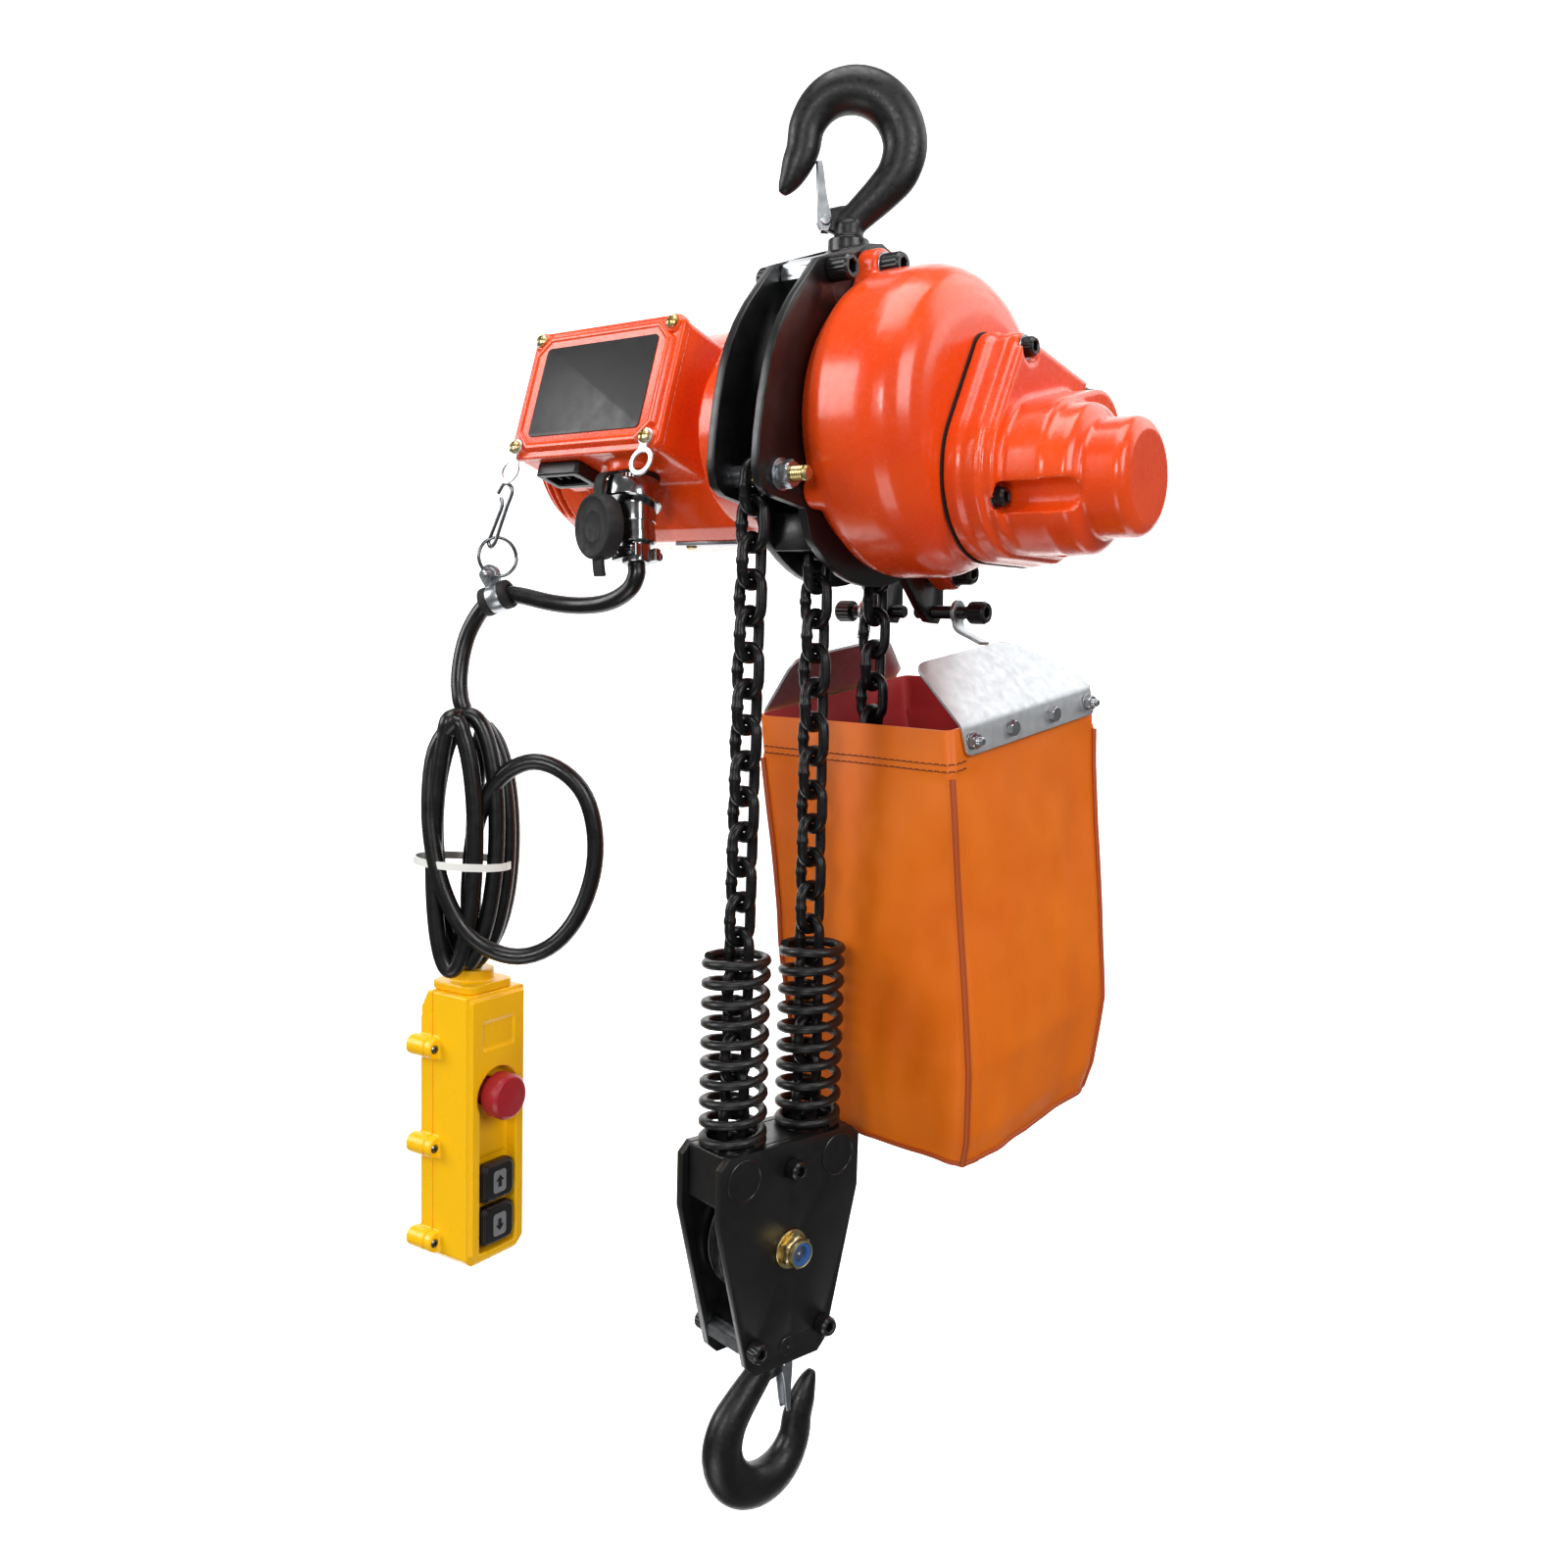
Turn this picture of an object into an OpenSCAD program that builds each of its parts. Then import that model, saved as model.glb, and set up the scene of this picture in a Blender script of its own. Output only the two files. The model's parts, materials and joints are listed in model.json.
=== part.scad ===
// Electric mini chain hoist on two falls of chain, hanging from its top hook.
// Origin: the bowl of the top hook, where it rests on whatever carries it. +Z up.
// +X runs from the motor to the gear case, -Y is the side with the control box.

/* [Body] */
// Height from the top hook's bowl down to the lift wheel's axis
axis_drop = 168; // [150:1:200]
// Distance of the lift wheel's axis behind the hook's line
axis_back = 9; // [0:1:20]
// Clear gap between the two frame plates
plate_gap = 24; // [24:0.5:30]
// Thickness of each frame plate
plate_t = 5; // [4:0.5:8]
// Largest outer radius of the gear case
gear_r = 82; // [76:1:95]
// Length of the gear case from its plate to its gasket face
gear_len = 67.5; // [60:0.5:90]
// Outer radius of the motor barrel
motor_r = 62; // [58:1:75]
// Length of the motor housing and its end cap together
motor_len = 190; // [170:1:240]
// Wall of the castings
wall = 4; // [3:0.5:6]

/* [Gears] */
// Module of both gear stages
gear_module = 1.25; // [1.25:0.05:1.3]
// Distance from the lift wheel's axis to the countershaft
shaft_offset = 33.4; // [33.2:0.1:34]

/* [Top hook] */
// Diameter of both hooks' bowls
bowl_d = 36; // [34:1:44]
// Height from the bowl to the collar on the shank
hook_drop = 66; // [62:1:80]
// Turn of the top hook about its shank
hook_turn = 37; // [-90:1:90]
// Diameter of both hooks' shanks
shank_d = 15; // [13:0.5:16]

/* [Chain] */
// Wire diameter of the load chain
chain_wire = 6.3; // [6:0.1:6.5]
// Inside length of a link
chain_pitch = 19; // [19:0.1:19.5]
// Outside width of a link
chain_width = 21.3; // [20.5:0.1:21.8]
// Links in the fall that hangs from the anchor bolt
dead_links = 22; // [20:1:26]
// Distance of the anchor bolt in front of the hook's line
anchor_front = 78; // [76:1:82]
// Depth of the anchor bolt below the top hook's bowl
anchor_drop = 202; // [200:1:206]

/* [Load block] */
// Twist of the load block about the vertical
block_turn = -12; // [-15:1:0]
// Outside thickness of the load block
block_w = 39; // [37:1:46]
// Thickness of each load block plate
block_plate_t = 5; // [4:0.5:6]
// Width of the load block at its top
block_top_w = 100; // [96:1:110]
// Width of the load block at its bottom
block_foot_w = 58; // [56:1:70]
// Height of the load block plates
block_h = 128; // [126:1:140]
// Wire diameter of the buffer springs
spring_wire = 5; // [4:0.5:5.5]
// Outside diameter of the buffer springs
spring_d = 38; // [34:1:38]
// Height of the buffer springs
spring_h = 105; // [80:1:130]
// Turns in a buffer spring
spring_turns = 10; // [6:1:11]

/* [Control box] */
// Width of the control box
box_w = 113; // [105:1:125]
// Height of the control box
box_h = 76; // [70:1:90]
// Lean of the control box away from the vertical
box_tilt = 17; // [0:1:20]
// Depth of the control box in front of the motor barrel's axis
box_reach = 92; // [88:1:110]
// Thickness of the control box lid
lid_t = 7; // [5:0.5:10]

/* [Chain bag] */
// Width of the chain bag
bag_w = 150; // [130:1:170]
// Depth of the chain bag from front to back
bag_d = 140; // [120:1:150]
// Depth of the bag's bottom below the top hook's bowl
bag_drop = 575; // [500:1:600]
// Turn of the bag about the vertical
bag_turn = -8; // [-12:1:0]
// Thickness of the bag's cloth
bag_wall = 2.5; // [2:0.5:4]
// Depth of the bag's hanging bolts below the top hook's bowl
lug_drop = 267; // [262:1:275]
// Distance of the bag's hanging bolts behind the hook's line
lug_back = 78; // [72:1:84]

/* [Pendant] */
// Thickness of the pendant from its back to its button face
pendant_x = 45; // [40:1:55]
// Width of the pendant
pendant_y = 48; // [44:1:60]
// Length of the pendant's case
pendant_h = 166; // [150:1:180]
// Turn of the pendant about the vertical
pendant_turn = 4; // [-10:1:10]
// Travel of the direction buttons
button_travel = 3; // [2:0.5:4]
// Travel of the stop button
stop_travel = 5; // [4:0.5:6]
// Diameter of the pendant's cable
cable_d = 10; // [9:0.5:11]

/* [Hidden] */
$fn = 48;

black = [0.07, 0.07, 0.08];
orange = [0.91, 0.26, 0.11];
zinc = [0.78, 0.8, 0.82];
steel = [0.55, 0.56, 0.58];
gold = [0.75, 0.6, 0.3];
rubber = [0.05, 0.05, 0.05];
yellow = [0.96, 0.75, 0.04];
bag_cloth = [0.82, 0.38, 0.1];

run = 0.05;    // clearance of a running fit, on the radius
gap = 0.3;     // clearance between pieces that pass each other

axis_z = -axis_drop;
plate_in = plate_gap / 2;
plate_out = plate_in + plate_t;

// Chain geometry: ten pitches round the lift wheel, nine round the idle sheave.
wire_r = chain_wire / 2 - 0.16;
link_end = chain_width / 2 - chain_wire / 2;
wheel_r = chain_pitch / 2 / sin(18);
wheel_mid = wheel_r * cos(18);
sheave_r = chain_pitch / 2 / sin(20);
sheave_mid = sheave_r * cos(20);
fall = sheave_r * cos(10);
anchor_r = 4;
anchor_z = -anchor_drop;
dead_top = anchor_z + anchor_r;
sheave_z = dead_top - dead_links * chain_pitch - sheave_r * sin(10);
fall_end = sheave_z + sheave_r * sin(10);

// The live fall leaves the wheel where a whole number of pitches reaches the sheave.
live_links = 2 * round((axis_z - fall_end) / chain_pitch / 2);
live_top = fall_end + live_links * chain_pitch;
wheel_phase = asin((live_top - axis_z) / wheel_r);
live_y = axis_back - wheel_r * cos(wheel_phase);
slack_y = axis_back + wheel_r * cos(wheel_phase);
slack_top = 2 * axis_z - live_top;
slack_links = 11;
block_y = (live_y - anchor_front) / 2;

// Load block: its own frame has its top edge at z = 0.
axle_drop = 61;
block_top = sheave_z + axle_drop;
block_in = block_w / 2 - block_plate_t;
block_kink = 36;
trunnion_drop = block_h - 10.3;
load_bowl = block_h + 1 + hook_drop;

// Hook shank and bowl
shank_r = shank_d / 2;
bowl_r = bowl_d / 2;
collar_z = -hook_drop;

// Gear train
pinion_teeth = 11;
wheel_teeth = 42;
counter_teeth = 13;
final_teeth = 40;
shaft_angle = -74.3;
shaft_y = axis_back + shaft_offset * cos(shaft_angle);
shaft_z = axis_z + shaft_offset * sin(shaft_angle);
shaft_r = 6;
rotor_r = 5;
hub_r = 11;
gasket_x = plate_out + gear_len;
gasket_t = 1;
cover_x = gasket_x + gasket_t;
cap_x = 174;

// Motor
flange_x = -plate_out;
motor_end = flange_x - motor_len;
cap_joint = motor_end + 57;

// Control box: its own frame has the lid's outer face at y = 0.
box_x = -111.5;
box_y = 7 - box_reach;
box_z = axis_z + 19;
lid_screw_x = box_w / 2 - 6;
lid_screw_z = box_h / 2 - 5;

// Bag bolts and bag
lug_z = -lug_drop;
bag_x = 12;
bag_y = 78;
bag_rim = -320;
rim_tilt = 10;

// Pendant: its own frame has the top of the case at z = 0, its middle at x = y = 0.
pendant_at = [-190, -102, -500];
collar_h = 12;

// The cable's route, from its gland to the top of its hank.
cable_route = [
    [-82.7, -77.5, -246.8], [-81.8, -78.3, -252], [-85, -79, -259], [-93, -79.8, -264.5],
    [-103, -81, -268], [-115, -82.5, -269.5], [-128, -84.5, -269.5], [-142, -88, -268],
    [-157, -92.3, -265], [-166, -95.3, -264], [-174, -98.2, -266], [-181.5, -100.9, -271],
    [-187.5, -103.5, -279.5],
    [-191.5, -106, -289.5], [-193.2, -108.5, -302], [-192.8, -110.5, -315], [-190, -111.8, -326],
    [-187, -112, -334]
];
// The large loop beside the hank, from its upper to its lower turns.
loop_route = [
    [-165, -94, -390], [-163.5, -91, -382], [-158, -86, -371], [-148, -80, -363],
    [-134, -73, -361], [-120, -67, -370], [-111, -63, -386], [-107, -62, -406],
    [-108, -64, -428], [-113, -68, -448], [-122, -75, -464], [-134, -83, -474],
    [-148, -91, -475], [-159, -96, -466], [-164.5, -99, -457], [-166, -100, -449]
];
hank_at = [-186, -112, -410];
hank_w = 60;
hank_h = 152;
hank_t = 32;
hank_turn = 35;

// ---------- shared shapes ----------

// Extrudes a (y, z) outline along x.
module slab(x0, x1) {
    translate([x0, 0, 0]) rotate([90, 0, 90]) linear_extrude(x1 - x0) children();
}

// A rod along x through (y, z).
module rod(x0, x1, y, z, r) {
    translate([x0, y, z]) rotate([0, 90, 0]) cylinder(h = x1 - x0, r = r);
}

// Turns an (r, x) outline about the x axis through (y, z).
module turned(points, y = axis_back, z = axis_z) {
    translate([0, y, z]) rotate([0, 90, 0]) rotate_extrude($fn = 96) polygon(points);
}

// A socket cap screw along +x: head from x0, shank behind it, with a hex socket.
module cap_screw(x0, y, z, shank, r, head_r, head_h) {
    translate([x0, y, z]) rotate([0, 90, 0]) {
        difference() {
            cylinder(h = head_h, r = head_r);
            translate([0, 0, head_h / 2]) cylinder(h = head_h, r = r * 0.9, $fn = 6);
        }
        translate([0, 0, -shank]) cylinder(h = shank + head_h / 4, r = r);
    }
}

// A hex bar or nut along x with an optional bore.
module hex_bar(x0, x1, y, z, flats, bore = 0) {
    translate([x0, y, z]) rotate([0, 90, 0]) difference() {
        cylinder(h = x1 - x0, r = flats / sqrt(3), $fn = 6);
        if (bore > 0) translate([0, 0, -1]) cylinder(h = x1 - x0 + 2, r = bore);
    }
}

function unit(v) = v / norm(v);
function ends(p, i) = unit(p[min(i + 1, len(p) - 1)] - p[max(i - 1, 0)]);

// A swept bar: rings of sides points, with half-widths a (in the curve's plane) and b.
module sweep(path, a, b, plane, sides) {
    rings = [for (i = [0:len(path) - 1]) let (t = ends(path, i), n = unit(cross(plane, t)), w = cross(t, n))
        for (k = [0:sides - 1]) path[i] + n * a[i] * cos(k * 360 / sides) + w * b[i] * sin(k * 360 / sides)];
    last = (len(path) - 1) * sides;
    polyhedron(rings, concat(
        [[for (k = [0:sides - 1]) k]],
        [for (i = [0:len(path) - 2], k = [0:sides - 1]) let (j = i * sides, m = (k + 1) % sides)
            [j + k, j + sides + k, j + sides + m, j + m]],
        [[for (k = [sides - 1:-1:0]) last + k]]));
}

module tube(route, d, sides = 10) {
    r = [for (p = route) d / 2];
    sweep(route, r, r, unit([-0.6, 0.8, 0]), sides);
}

// One chain link, long along z, wide along x.
module link() {
    straight = chain_pitch / 2 + chain_wire / 2 - link_end;
    for (s = [-1, 1]) {
        translate([s * link_end, 0, -straight]) cylinder(h = 2 * straight, r = wire_r, $fn = 24);
        translate([0, 0, s * straight]) rotate([90, 0, 0]) rotate([0, 0, s > 0 ? 0 : 180])
            rotate_extrude(angle = 180) translate([link_end, 0]) circle(r = wire_r, $fn = 24);
    }
}

// A straight fall of links, down from top to end, twisted evenly by twist.
module fall_of_links(top, end, count, twist, first) {
    dir = end - top;
    lean_x = atan2(-dir[0], -dir[2]) ;
    lean_y = atan2(dir[1], norm([dir[0], dir[2]]));
    translate(top) rotate([lean_y, lean_x, 0]) for (i = [0:count - 1])
        translate([0, 0, -(i + 0.5) * chain_pitch])
            rotate([0, 0, (i + 0.5) / count * twist + 90 * ((i + first + 1) % 2)]) link();
}

// Links round a wheel turning about x, at angles from straight up.
module wrap_of_links(mid, angles, first) {
    for (i = [0:len(angles) - 1])
        rotate([-angles[i], 0, 0]) translate([0, 0, mid]) rotate([90, 0, 0])
            rotate([0, 0, 90 * ((i + first + 1) % 2)]) link();
}

module gear_2d(teeth, phase = 0) {
    pitch_r = teeth * gear_module / 2;
    step = 360 / teeth;
    polygon([for (i = [0:teeth - 1], q = [
        [-0.36, pitch_r - 1.2 * gear_module], [-0.22, pitch_r], [-0.1, pitch_r + 0.85 * gear_module],
        [0.1, pitch_r + 0.85 * gear_module], [0.22, pitch_r], [0.36, pitch_r - 1.2 * gear_module]])
        q[1] * [cos((i + q[0]) * step + phase), sin((i + q[0]) * step + phase)]]);
}

// ---------- hooks ----------

// The hook's middle line from the shank to the tip: [u, v, half-width], bowl at (0, 0).
function hook_line() = let (w = 12.5, r = bowl_r, n = hook_drop) concat(
    [[0, 2 - n, 8], [1.5, 7 - n, 8.3], [8, 15 - n, 9], [17, 25 - n, 10.2], [bowl_r + 8, 36 - n, 11.4]],
    [for (q = [[0, 12.2], [22, 12.6], [44, 13], [66, 13.2], [88, 13], [110, 12.3], [132, 11.2], [156, 10], [180, 9.4]])
        [(r + q[1] - 1) * cos(q[0]), (r + q[1]) * sin(q[0]) - r, q[1]]],
    [[-r - 11.6, -r - 9, 8.6], [-r - 14.5, -r - 16, 6.6], [-r - 18, -r - 22, 4.2], [-r - 20, -r - 25, 1.8]]);

module hook_body() {
    line = hook_line();
    sweep([for (p = line) [p[0], 0, p[1]]], [for (p = line) p[2]], [for (p = line) p[2] * 0.82], [0, 1, 0], 16);
}

// Latch lug on the hook's neck, drilled for the latch pin.
module hook_lug() {
    rotate([90, 0, 0]) linear_extrude(6, center = true) difference() {
        polygon([[-3, 3 - hook_drop], [-9, 3 - hook_drop], [-17, 6 - hook_drop], [-17, 12 - hook_drop],
            [-12, 16 - hook_drop], [-3, 18 - hook_drop], [4, 10 - hook_drop]]);
        translate([-13, 9 - hook_drop]) circle(r = 1.6 + run, $fn = 24);
    }
}

// Sheet latch: two cheeks and a back, with its pin, hooked inside the tip.
module latch() {
    top = -bowl_r - 7.5;
    for (s = [-1, 1]) rotate([90, 0, 0]) translate([0, 0, s * 3.9 - 0.6]) linear_extrude(1.2)
        polygon([[-9.5, 8 - hook_drop], [-13, 5 - hook_drop], [-17.5, 8 - hook_drop], [-bowl_r - 0.6, top],
            [-bowl_r + 3.4, top], [-13, 16 - hook_drop]]);
    translate([-13, 0, 9 - hook_drop]) rotate([90, 0, 0]) cylinder(h = 9, r = 1.6, center = true, $fn = 24);
    translate([-bowl_r - 0.6, -3.5, top - 25]) cube([1.2, 7, 25]);
}

// Shank, collar, nut and thrust ring below a hook whose bowl is at the origin.
module hook_shank(length) {
    translate([0, 0, collar_z]) cylinder(h = 3, r = 11);
    translate([0, 0, collar_z - length]) cylinder(h = length + 2, r = shank_r);
}

module hook_nut(z, nut_r, nut_h, ring_h) {
    difference() {
        union() {
            translate([0, 0, z - nut_h]) cylinder(h = nut_h, r = nut_r, $fn = 6);
            translate([0, 0, z]) cylinder(h = ring_h, r = nut_r - 0.3);
        }
        translate([0, 0, z - nut_h - 1]) cylinder(h = nut_h + ring_h + 2, r = shank_r);
    }
}

head_top = collar_z - gap;       // top of the crosshead's boss
head_foot = -94;                 // underside of the crosshead

module top_hook() {
    color(black) rotate([0, 0, hook_turn]) {
        union() {
            hook_body();
            hook_lug();
            hook_shank(-head_foot - hook_drop + 14);
        }
        hook_nut(head_foot - gap - 4, 10.5, 8, 4);
    }
}

module top_latch() {
    color(zinc) rotate([0, 0, hook_turn]) latch();
}

// ---------- frame ----------

spacer_at = [-38, -92];
pins_at = [[-18, -84.5], [26, -84]];
housing_screws = [[-8, -86], [-50, -207.5], [80, -244]];
pin_r = 4;
screw_r = 3.5;
head_r = 6.5;
bearing_r = 17;

module frame_outline() {
    arc_r = gear_r + 5;
    c = [axis_back, axis_z];
    polygon(concat(
        [[58, -86], [40, -76], [8, -68.5], [-4, -71], [-50, -88.5], [-60, -100], [-70, -111.5],
            [-78, -123], [-84.5, -135.5], [-89, -148], [-93, -166], [-95.5, -183], [-96.5, -199],
            [-94, -208], [-87, -212.5], [-56, -217]],
        [for (a = [-133:6:-67]) c + arc_r * [cos(a), sin(a)]],
        [[lug_back - 17, lug_z + 2], [lug_back - 6, lug_z - 6], [lug_back + 5, lug_z - 7],
            [lug_back + 10, lug_z], [lug_back + 9, lug_z + 22]],
        [for (a = [-42:8:54]) c + arc_r * [cos(a), sin(a)]]));
}

module frame_plate(x0) {
    slab(x0, x0 + plate_t) difference() {
        frame_outline();
        translate([axis_back, axis_z]) circle(r = bearing_r);
        translate([-anchor_front, anchor_z]) circle(r = anchor_r);
        translate([lug_back, lug_z]) circle(r = pin_r);
        translate(spacer_at) circle(r = pin_r);
        for (p = pins_at) translate(p) circle(r = pin_r);
        for (p = housing_screws) translate(p) circle(r = screw_r);
    }
}

module frame_plate_left() { color(black) frame_plate(-plate_out); }
module frame_plate_right() { color(black) frame_plate(plate_in); }

// Block between the plates that carries the top hook.
module crosshead() {
    color(black) difference() {
        union() {
            slab(-plate_in, plate_in) polygon([[-24, head_foot], [36, head_foot], [36, -76], [8, -69.5],
                [-4, -72], [-24, -79.5]]);
            translate([0, 0, -74]) cylinder(h = head_top + 74, r = plate_in - 0.5);
        }
        translate([0, 0, head_foot - 1]) cylinder(h = 40, r = shank_r + run);
        for (p = pins_at) rod(-plate_in - 1, plate_in + 1, p[0], p[1], pin_r);
        rod(-plate_in - 1, plate_in + 1, housing_screws[0][0], housing_screws[0][1], screw_r + 1);
    }
}

// Two flush pins through the crosshead, and the front screws on their hex spacer.
module frame_bolts() {
    color(black) {
        for (p = pins_at) rod(-plate_out, plate_out, p[0], p[1], pin_r);
        cap_screw(plate_out, spacer_at[0], spacer_at[1], plate_t, pin_r, head_r, 13);
        mirror([1, 0, 0]) cap_screw(plate_out, spacer_at[0], spacer_at[1], plate_t, pin_r, head_r, 13);
    }
    color(zinc) hex_bar(-plate_in, plate_in, spacer_at[0], spacer_at[1], 13);
}

// Bolt through the first link of the dead fall, with its nut.
module anchor_bolt() {
    color(gold) {
        rod(-plate_out - 5, plate_out + 18, -anchor_front, anchor_z, anchor_r);
        hex_bar(-plate_out - 5.5, -plate_out, -anchor_front, anchor_z, 13);
    }
    color(zinc) hex_bar(plate_out, plate_out + 8, -anchor_front, anchor_z, 13, anchor_r);
}

// Blocks that keep the two moving falls in line below the lift wheel.
module chain_guide() {
    side = chain_width / 2 + 1;
    color(black) difference() {
        union() {
            slab(-plate_in, plate_in) translate([live_y + side, axis_z - 78])
                square([slack_y - live_y - 2 * side, 46]);
            slab(-plate_in, plate_in) translate([live_y - side - 12, axis_z - 70]) square([12, 20]);
            slab(-plate_in, plate_in) translate([slack_y + side, axis_z - 74]) square([12, 30]);
        }
        rod(-plate_in - 1, plate_in + 1, axis_back, axis_z, wheel_mid + 5);
    }
}

module wheel_bearings() {
    color(steel) for (x0 = [-plate_out, plate_in]) difference() {
        rod(x0, x0 + plate_t, axis_back, axis_z, bearing_r);
        rod(x0 - 1, x0 + plate_t + 1, axis_back, axis_z, hub_r + run);
    }
}

// ---------- gear train ----------

shaft_bore = 7;
final_x = [44, 58];
counter_x = [68, 80];

// Pocketed lift wheel with its hollow hub and the final gear.
module lift_wheel() {
    half = plate_in - 1;
    seat = wheel_mid - wire_r - 0.4;
    groove = wheel_mid - chain_width / 2 - 0.6;
    slot = wire_r + 0.7;
    color(steel) {
        turned([[shaft_bore, -plate_out - 5], [hub_r, -plate_out - 5], [hub_r, -half], [seat, -half],
            [seat, -slot], [groove, -slot], [groove, slot], [seat, slot], [seat, half], [hub_r, half],
            [hub_r, final_x[1] + 3], [shaft_bore, final_x[1] + 3]]);
        for (k = [0:4], s = [-1, 1]) translate([0, axis_back, axis_z]) rotate([-wheel_phase - 54 - 72 * k, 0, 0])
            slab(s > 0 ? slot : -half, s > 0 ? half : -slot)
                polygon([[-seat + 1, -3.5], [-seat + 1, 3.5], [-wheel_r - 1, 1.8], [-wheel_r - 1, -1.8]]);
        slab(final_x[0], final_x[1]) translate([axis_back, axis_z]) difference() {
            gear_2d(final_teeth, shaft_angle);
            circle(r = hub_r);
        }
    }
}

// Countershaft: pinion to the final gear, wheel to the motor pinion, clutch drum.
module countershaft() {
    color(steel) {
        rod(24, 160, shaft_y, shaft_z, shaft_r);
        for (g = [[final_x, counter_teeth, 180 + shaft_angle + 180 / counter_teeth], [counter_x, wheel_teeth, 180 + shaft_angle]])
            slab(g[0][0] - 1, g[0][1] + 1) translate([shaft_y, shaft_z]) difference() {
                gear_2d(g[1], g[2]);
                circle(r = shaft_r);
            }
        difference() {
            rod(114, 142, shaft_y, shaft_z, 24);
            rod(113, 143, shaft_y, shaft_z, shaft_r);
        }
    }
}

module rotor() {
    end_x = motor_end + 9;
    color(steel) {
        rod(end_x, cover_x + 16, axis_back, axis_z, rotor_r);
        difference() {
            rod(-132, -58, axis_back, axis_z, 34);
            rod(-133, -57, axis_back, axis_z, rotor_r);
        }
        slab(counter_x[0] - 1, counter_x[1] + 1) translate([axis_back, axis_z]) difference() {
            gear_2d(pinion_teeth, shaft_angle + 180 / pinion_teeth);
            circle(r = rotor_r);
        }
    }
    color(black) translate([-166, axis_back, axis_z]) rotate([0, 90, 0]) difference() {
        union() {
            cylinder(h = 3, r = 44);
            for (a = [0:36:359]) rotate([0, 0, a]) translate([16, -1, -10]) cube([27, 2, 11]);
            translate([0, 0, -10]) cylinder(h = 12, r = 12);
        }
        translate([0, 0, -12]) cylinder(h = 20, r = rotor_r);
    }
}

module stator() {
    color(steel) difference() {
        rod(-138, -52, axis_back, axis_z, motor_r - wall);
        rod(-139, -51, axis_back, axis_z, 34.6);
    }
}

// ---------- motor side ----------

// Places children in the control box's own frame.
module box_frame() {
    translate([box_x, box_y, box_z]) rotate([-box_tilt, 0, 0]) children();
}

module box_outline(w, h, r) {
    for (s = [-1, 1]) {
        translate([-w / 2, -h / 2 + (s > 0 ? 0 : r)]) square([w, h - r]);
    }
}

module rounded(w, h, r) {
    square([w - 2 * r, h], center = true);
    square([w, h - 2 * r], center = true);
    for (x = [-1, 1], z = [-1, 1]) translate([x * (w / 2 - r), z * (h / 2 - r)]) circle(r = r);
}

// Extrudes an (x, z) outline from y0 to y1.
module face(y0, y1) {
    translate([0, y1, 0]) rotate([90, 0, 0]) linear_extrude(y1 - y0) children();
}

// The plug hangs from the box's underside on a leaning axis.
plug_at = [-92, -70, -194];
plug_lean = [-8, -10, 0];
gland_end = 54;
module plug_frame() {
    translate(plug_at) rotate(plug_lean) children();
}

inlet_at = [-25, 20];
board_y = 17;

module lid_screw_holes(y0, y1) {
    for (x = [-1, 1], z = [-1, 1]) face(y0, y1) translate([x * lid_screw_x, z * lid_screw_z]) circle(r = 2);
}

// Barrel, flange and control box in one casting.
module motor_housing() {
    color(orange) difference() {
        union() {
            turned([[0, flange_x], [72, flange_x], [74, flange_x - 3], [74, flange_x - 12], [70, flange_x - 18],
                [motor_r + 2, flange_x - 34], [motor_r, flange_x - 60], [motor_r, cap_joint], [0, cap_joint]]);
            slab(flange_x - 18, flange_x) {
                translate([-34, axis_z - 8]) circle(r = 50);
                polygon([[-50, -129], [9, -94], [9, -242], [-38, -226]]);
            }
            slab(cap_joint, flange_x - 20) polygon([[-50, -196], [-45, -224], [-36, -231], [50, -231], [58, -215],
                [50, -190]]);
            difference() {
                box_frame() face(lid_t, 66) rounded(box_w, box_h, 5);
                rod(motor_end, cap_joint, axis_back, axis_z, motor_r + gap);
            }
            plug_frame() translate([0, 0, -4]) cylinder(h = 14, r = 15.5);
        }
        turned([[0, flange_x - 24], [motor_r - wall - 3, flange_x - 24], [motor_r - wall, flange_x - 30],
            [motor_r - wall, cap_joint - 1], [0, cap_joint - 1]]);
        turned([[0, flange_x - 30], [0, flange_x + 1], [bearing_r, flange_x + 1], [bearing_r, flange_x - 8],
            [rotor_r + run, flange_x - 8], [rotor_r + run, flange_x - 30]]);
        box_frame() face(lid_t - 1, 27) rounded(box_w - 16, box_h - 16, 5);
        box_frame() lid_screw_holes(lid_t - 1, lid_t + 8);
        plug_frame() translate([0, 0, -5]) cylinder(h = 17, r = 10);
        box_frame() translate([inlet_at[0], inlet_at[1], -box_h / 2 - 1]) linear_extrude(6.5) square([28, 15], center = true);
        for (p = housing_screws) rod(flange_x - 8, flange_x + 1, p[0], p[1], screw_r);
        rod(flange_x - 19, flange_x + 1, spacer_at[0], spacer_at[1], head_r + 1);
        rod(flange_x - 8, flange_x + 1, -anchor_front, anchor_z, 9);
    }
}

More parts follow.
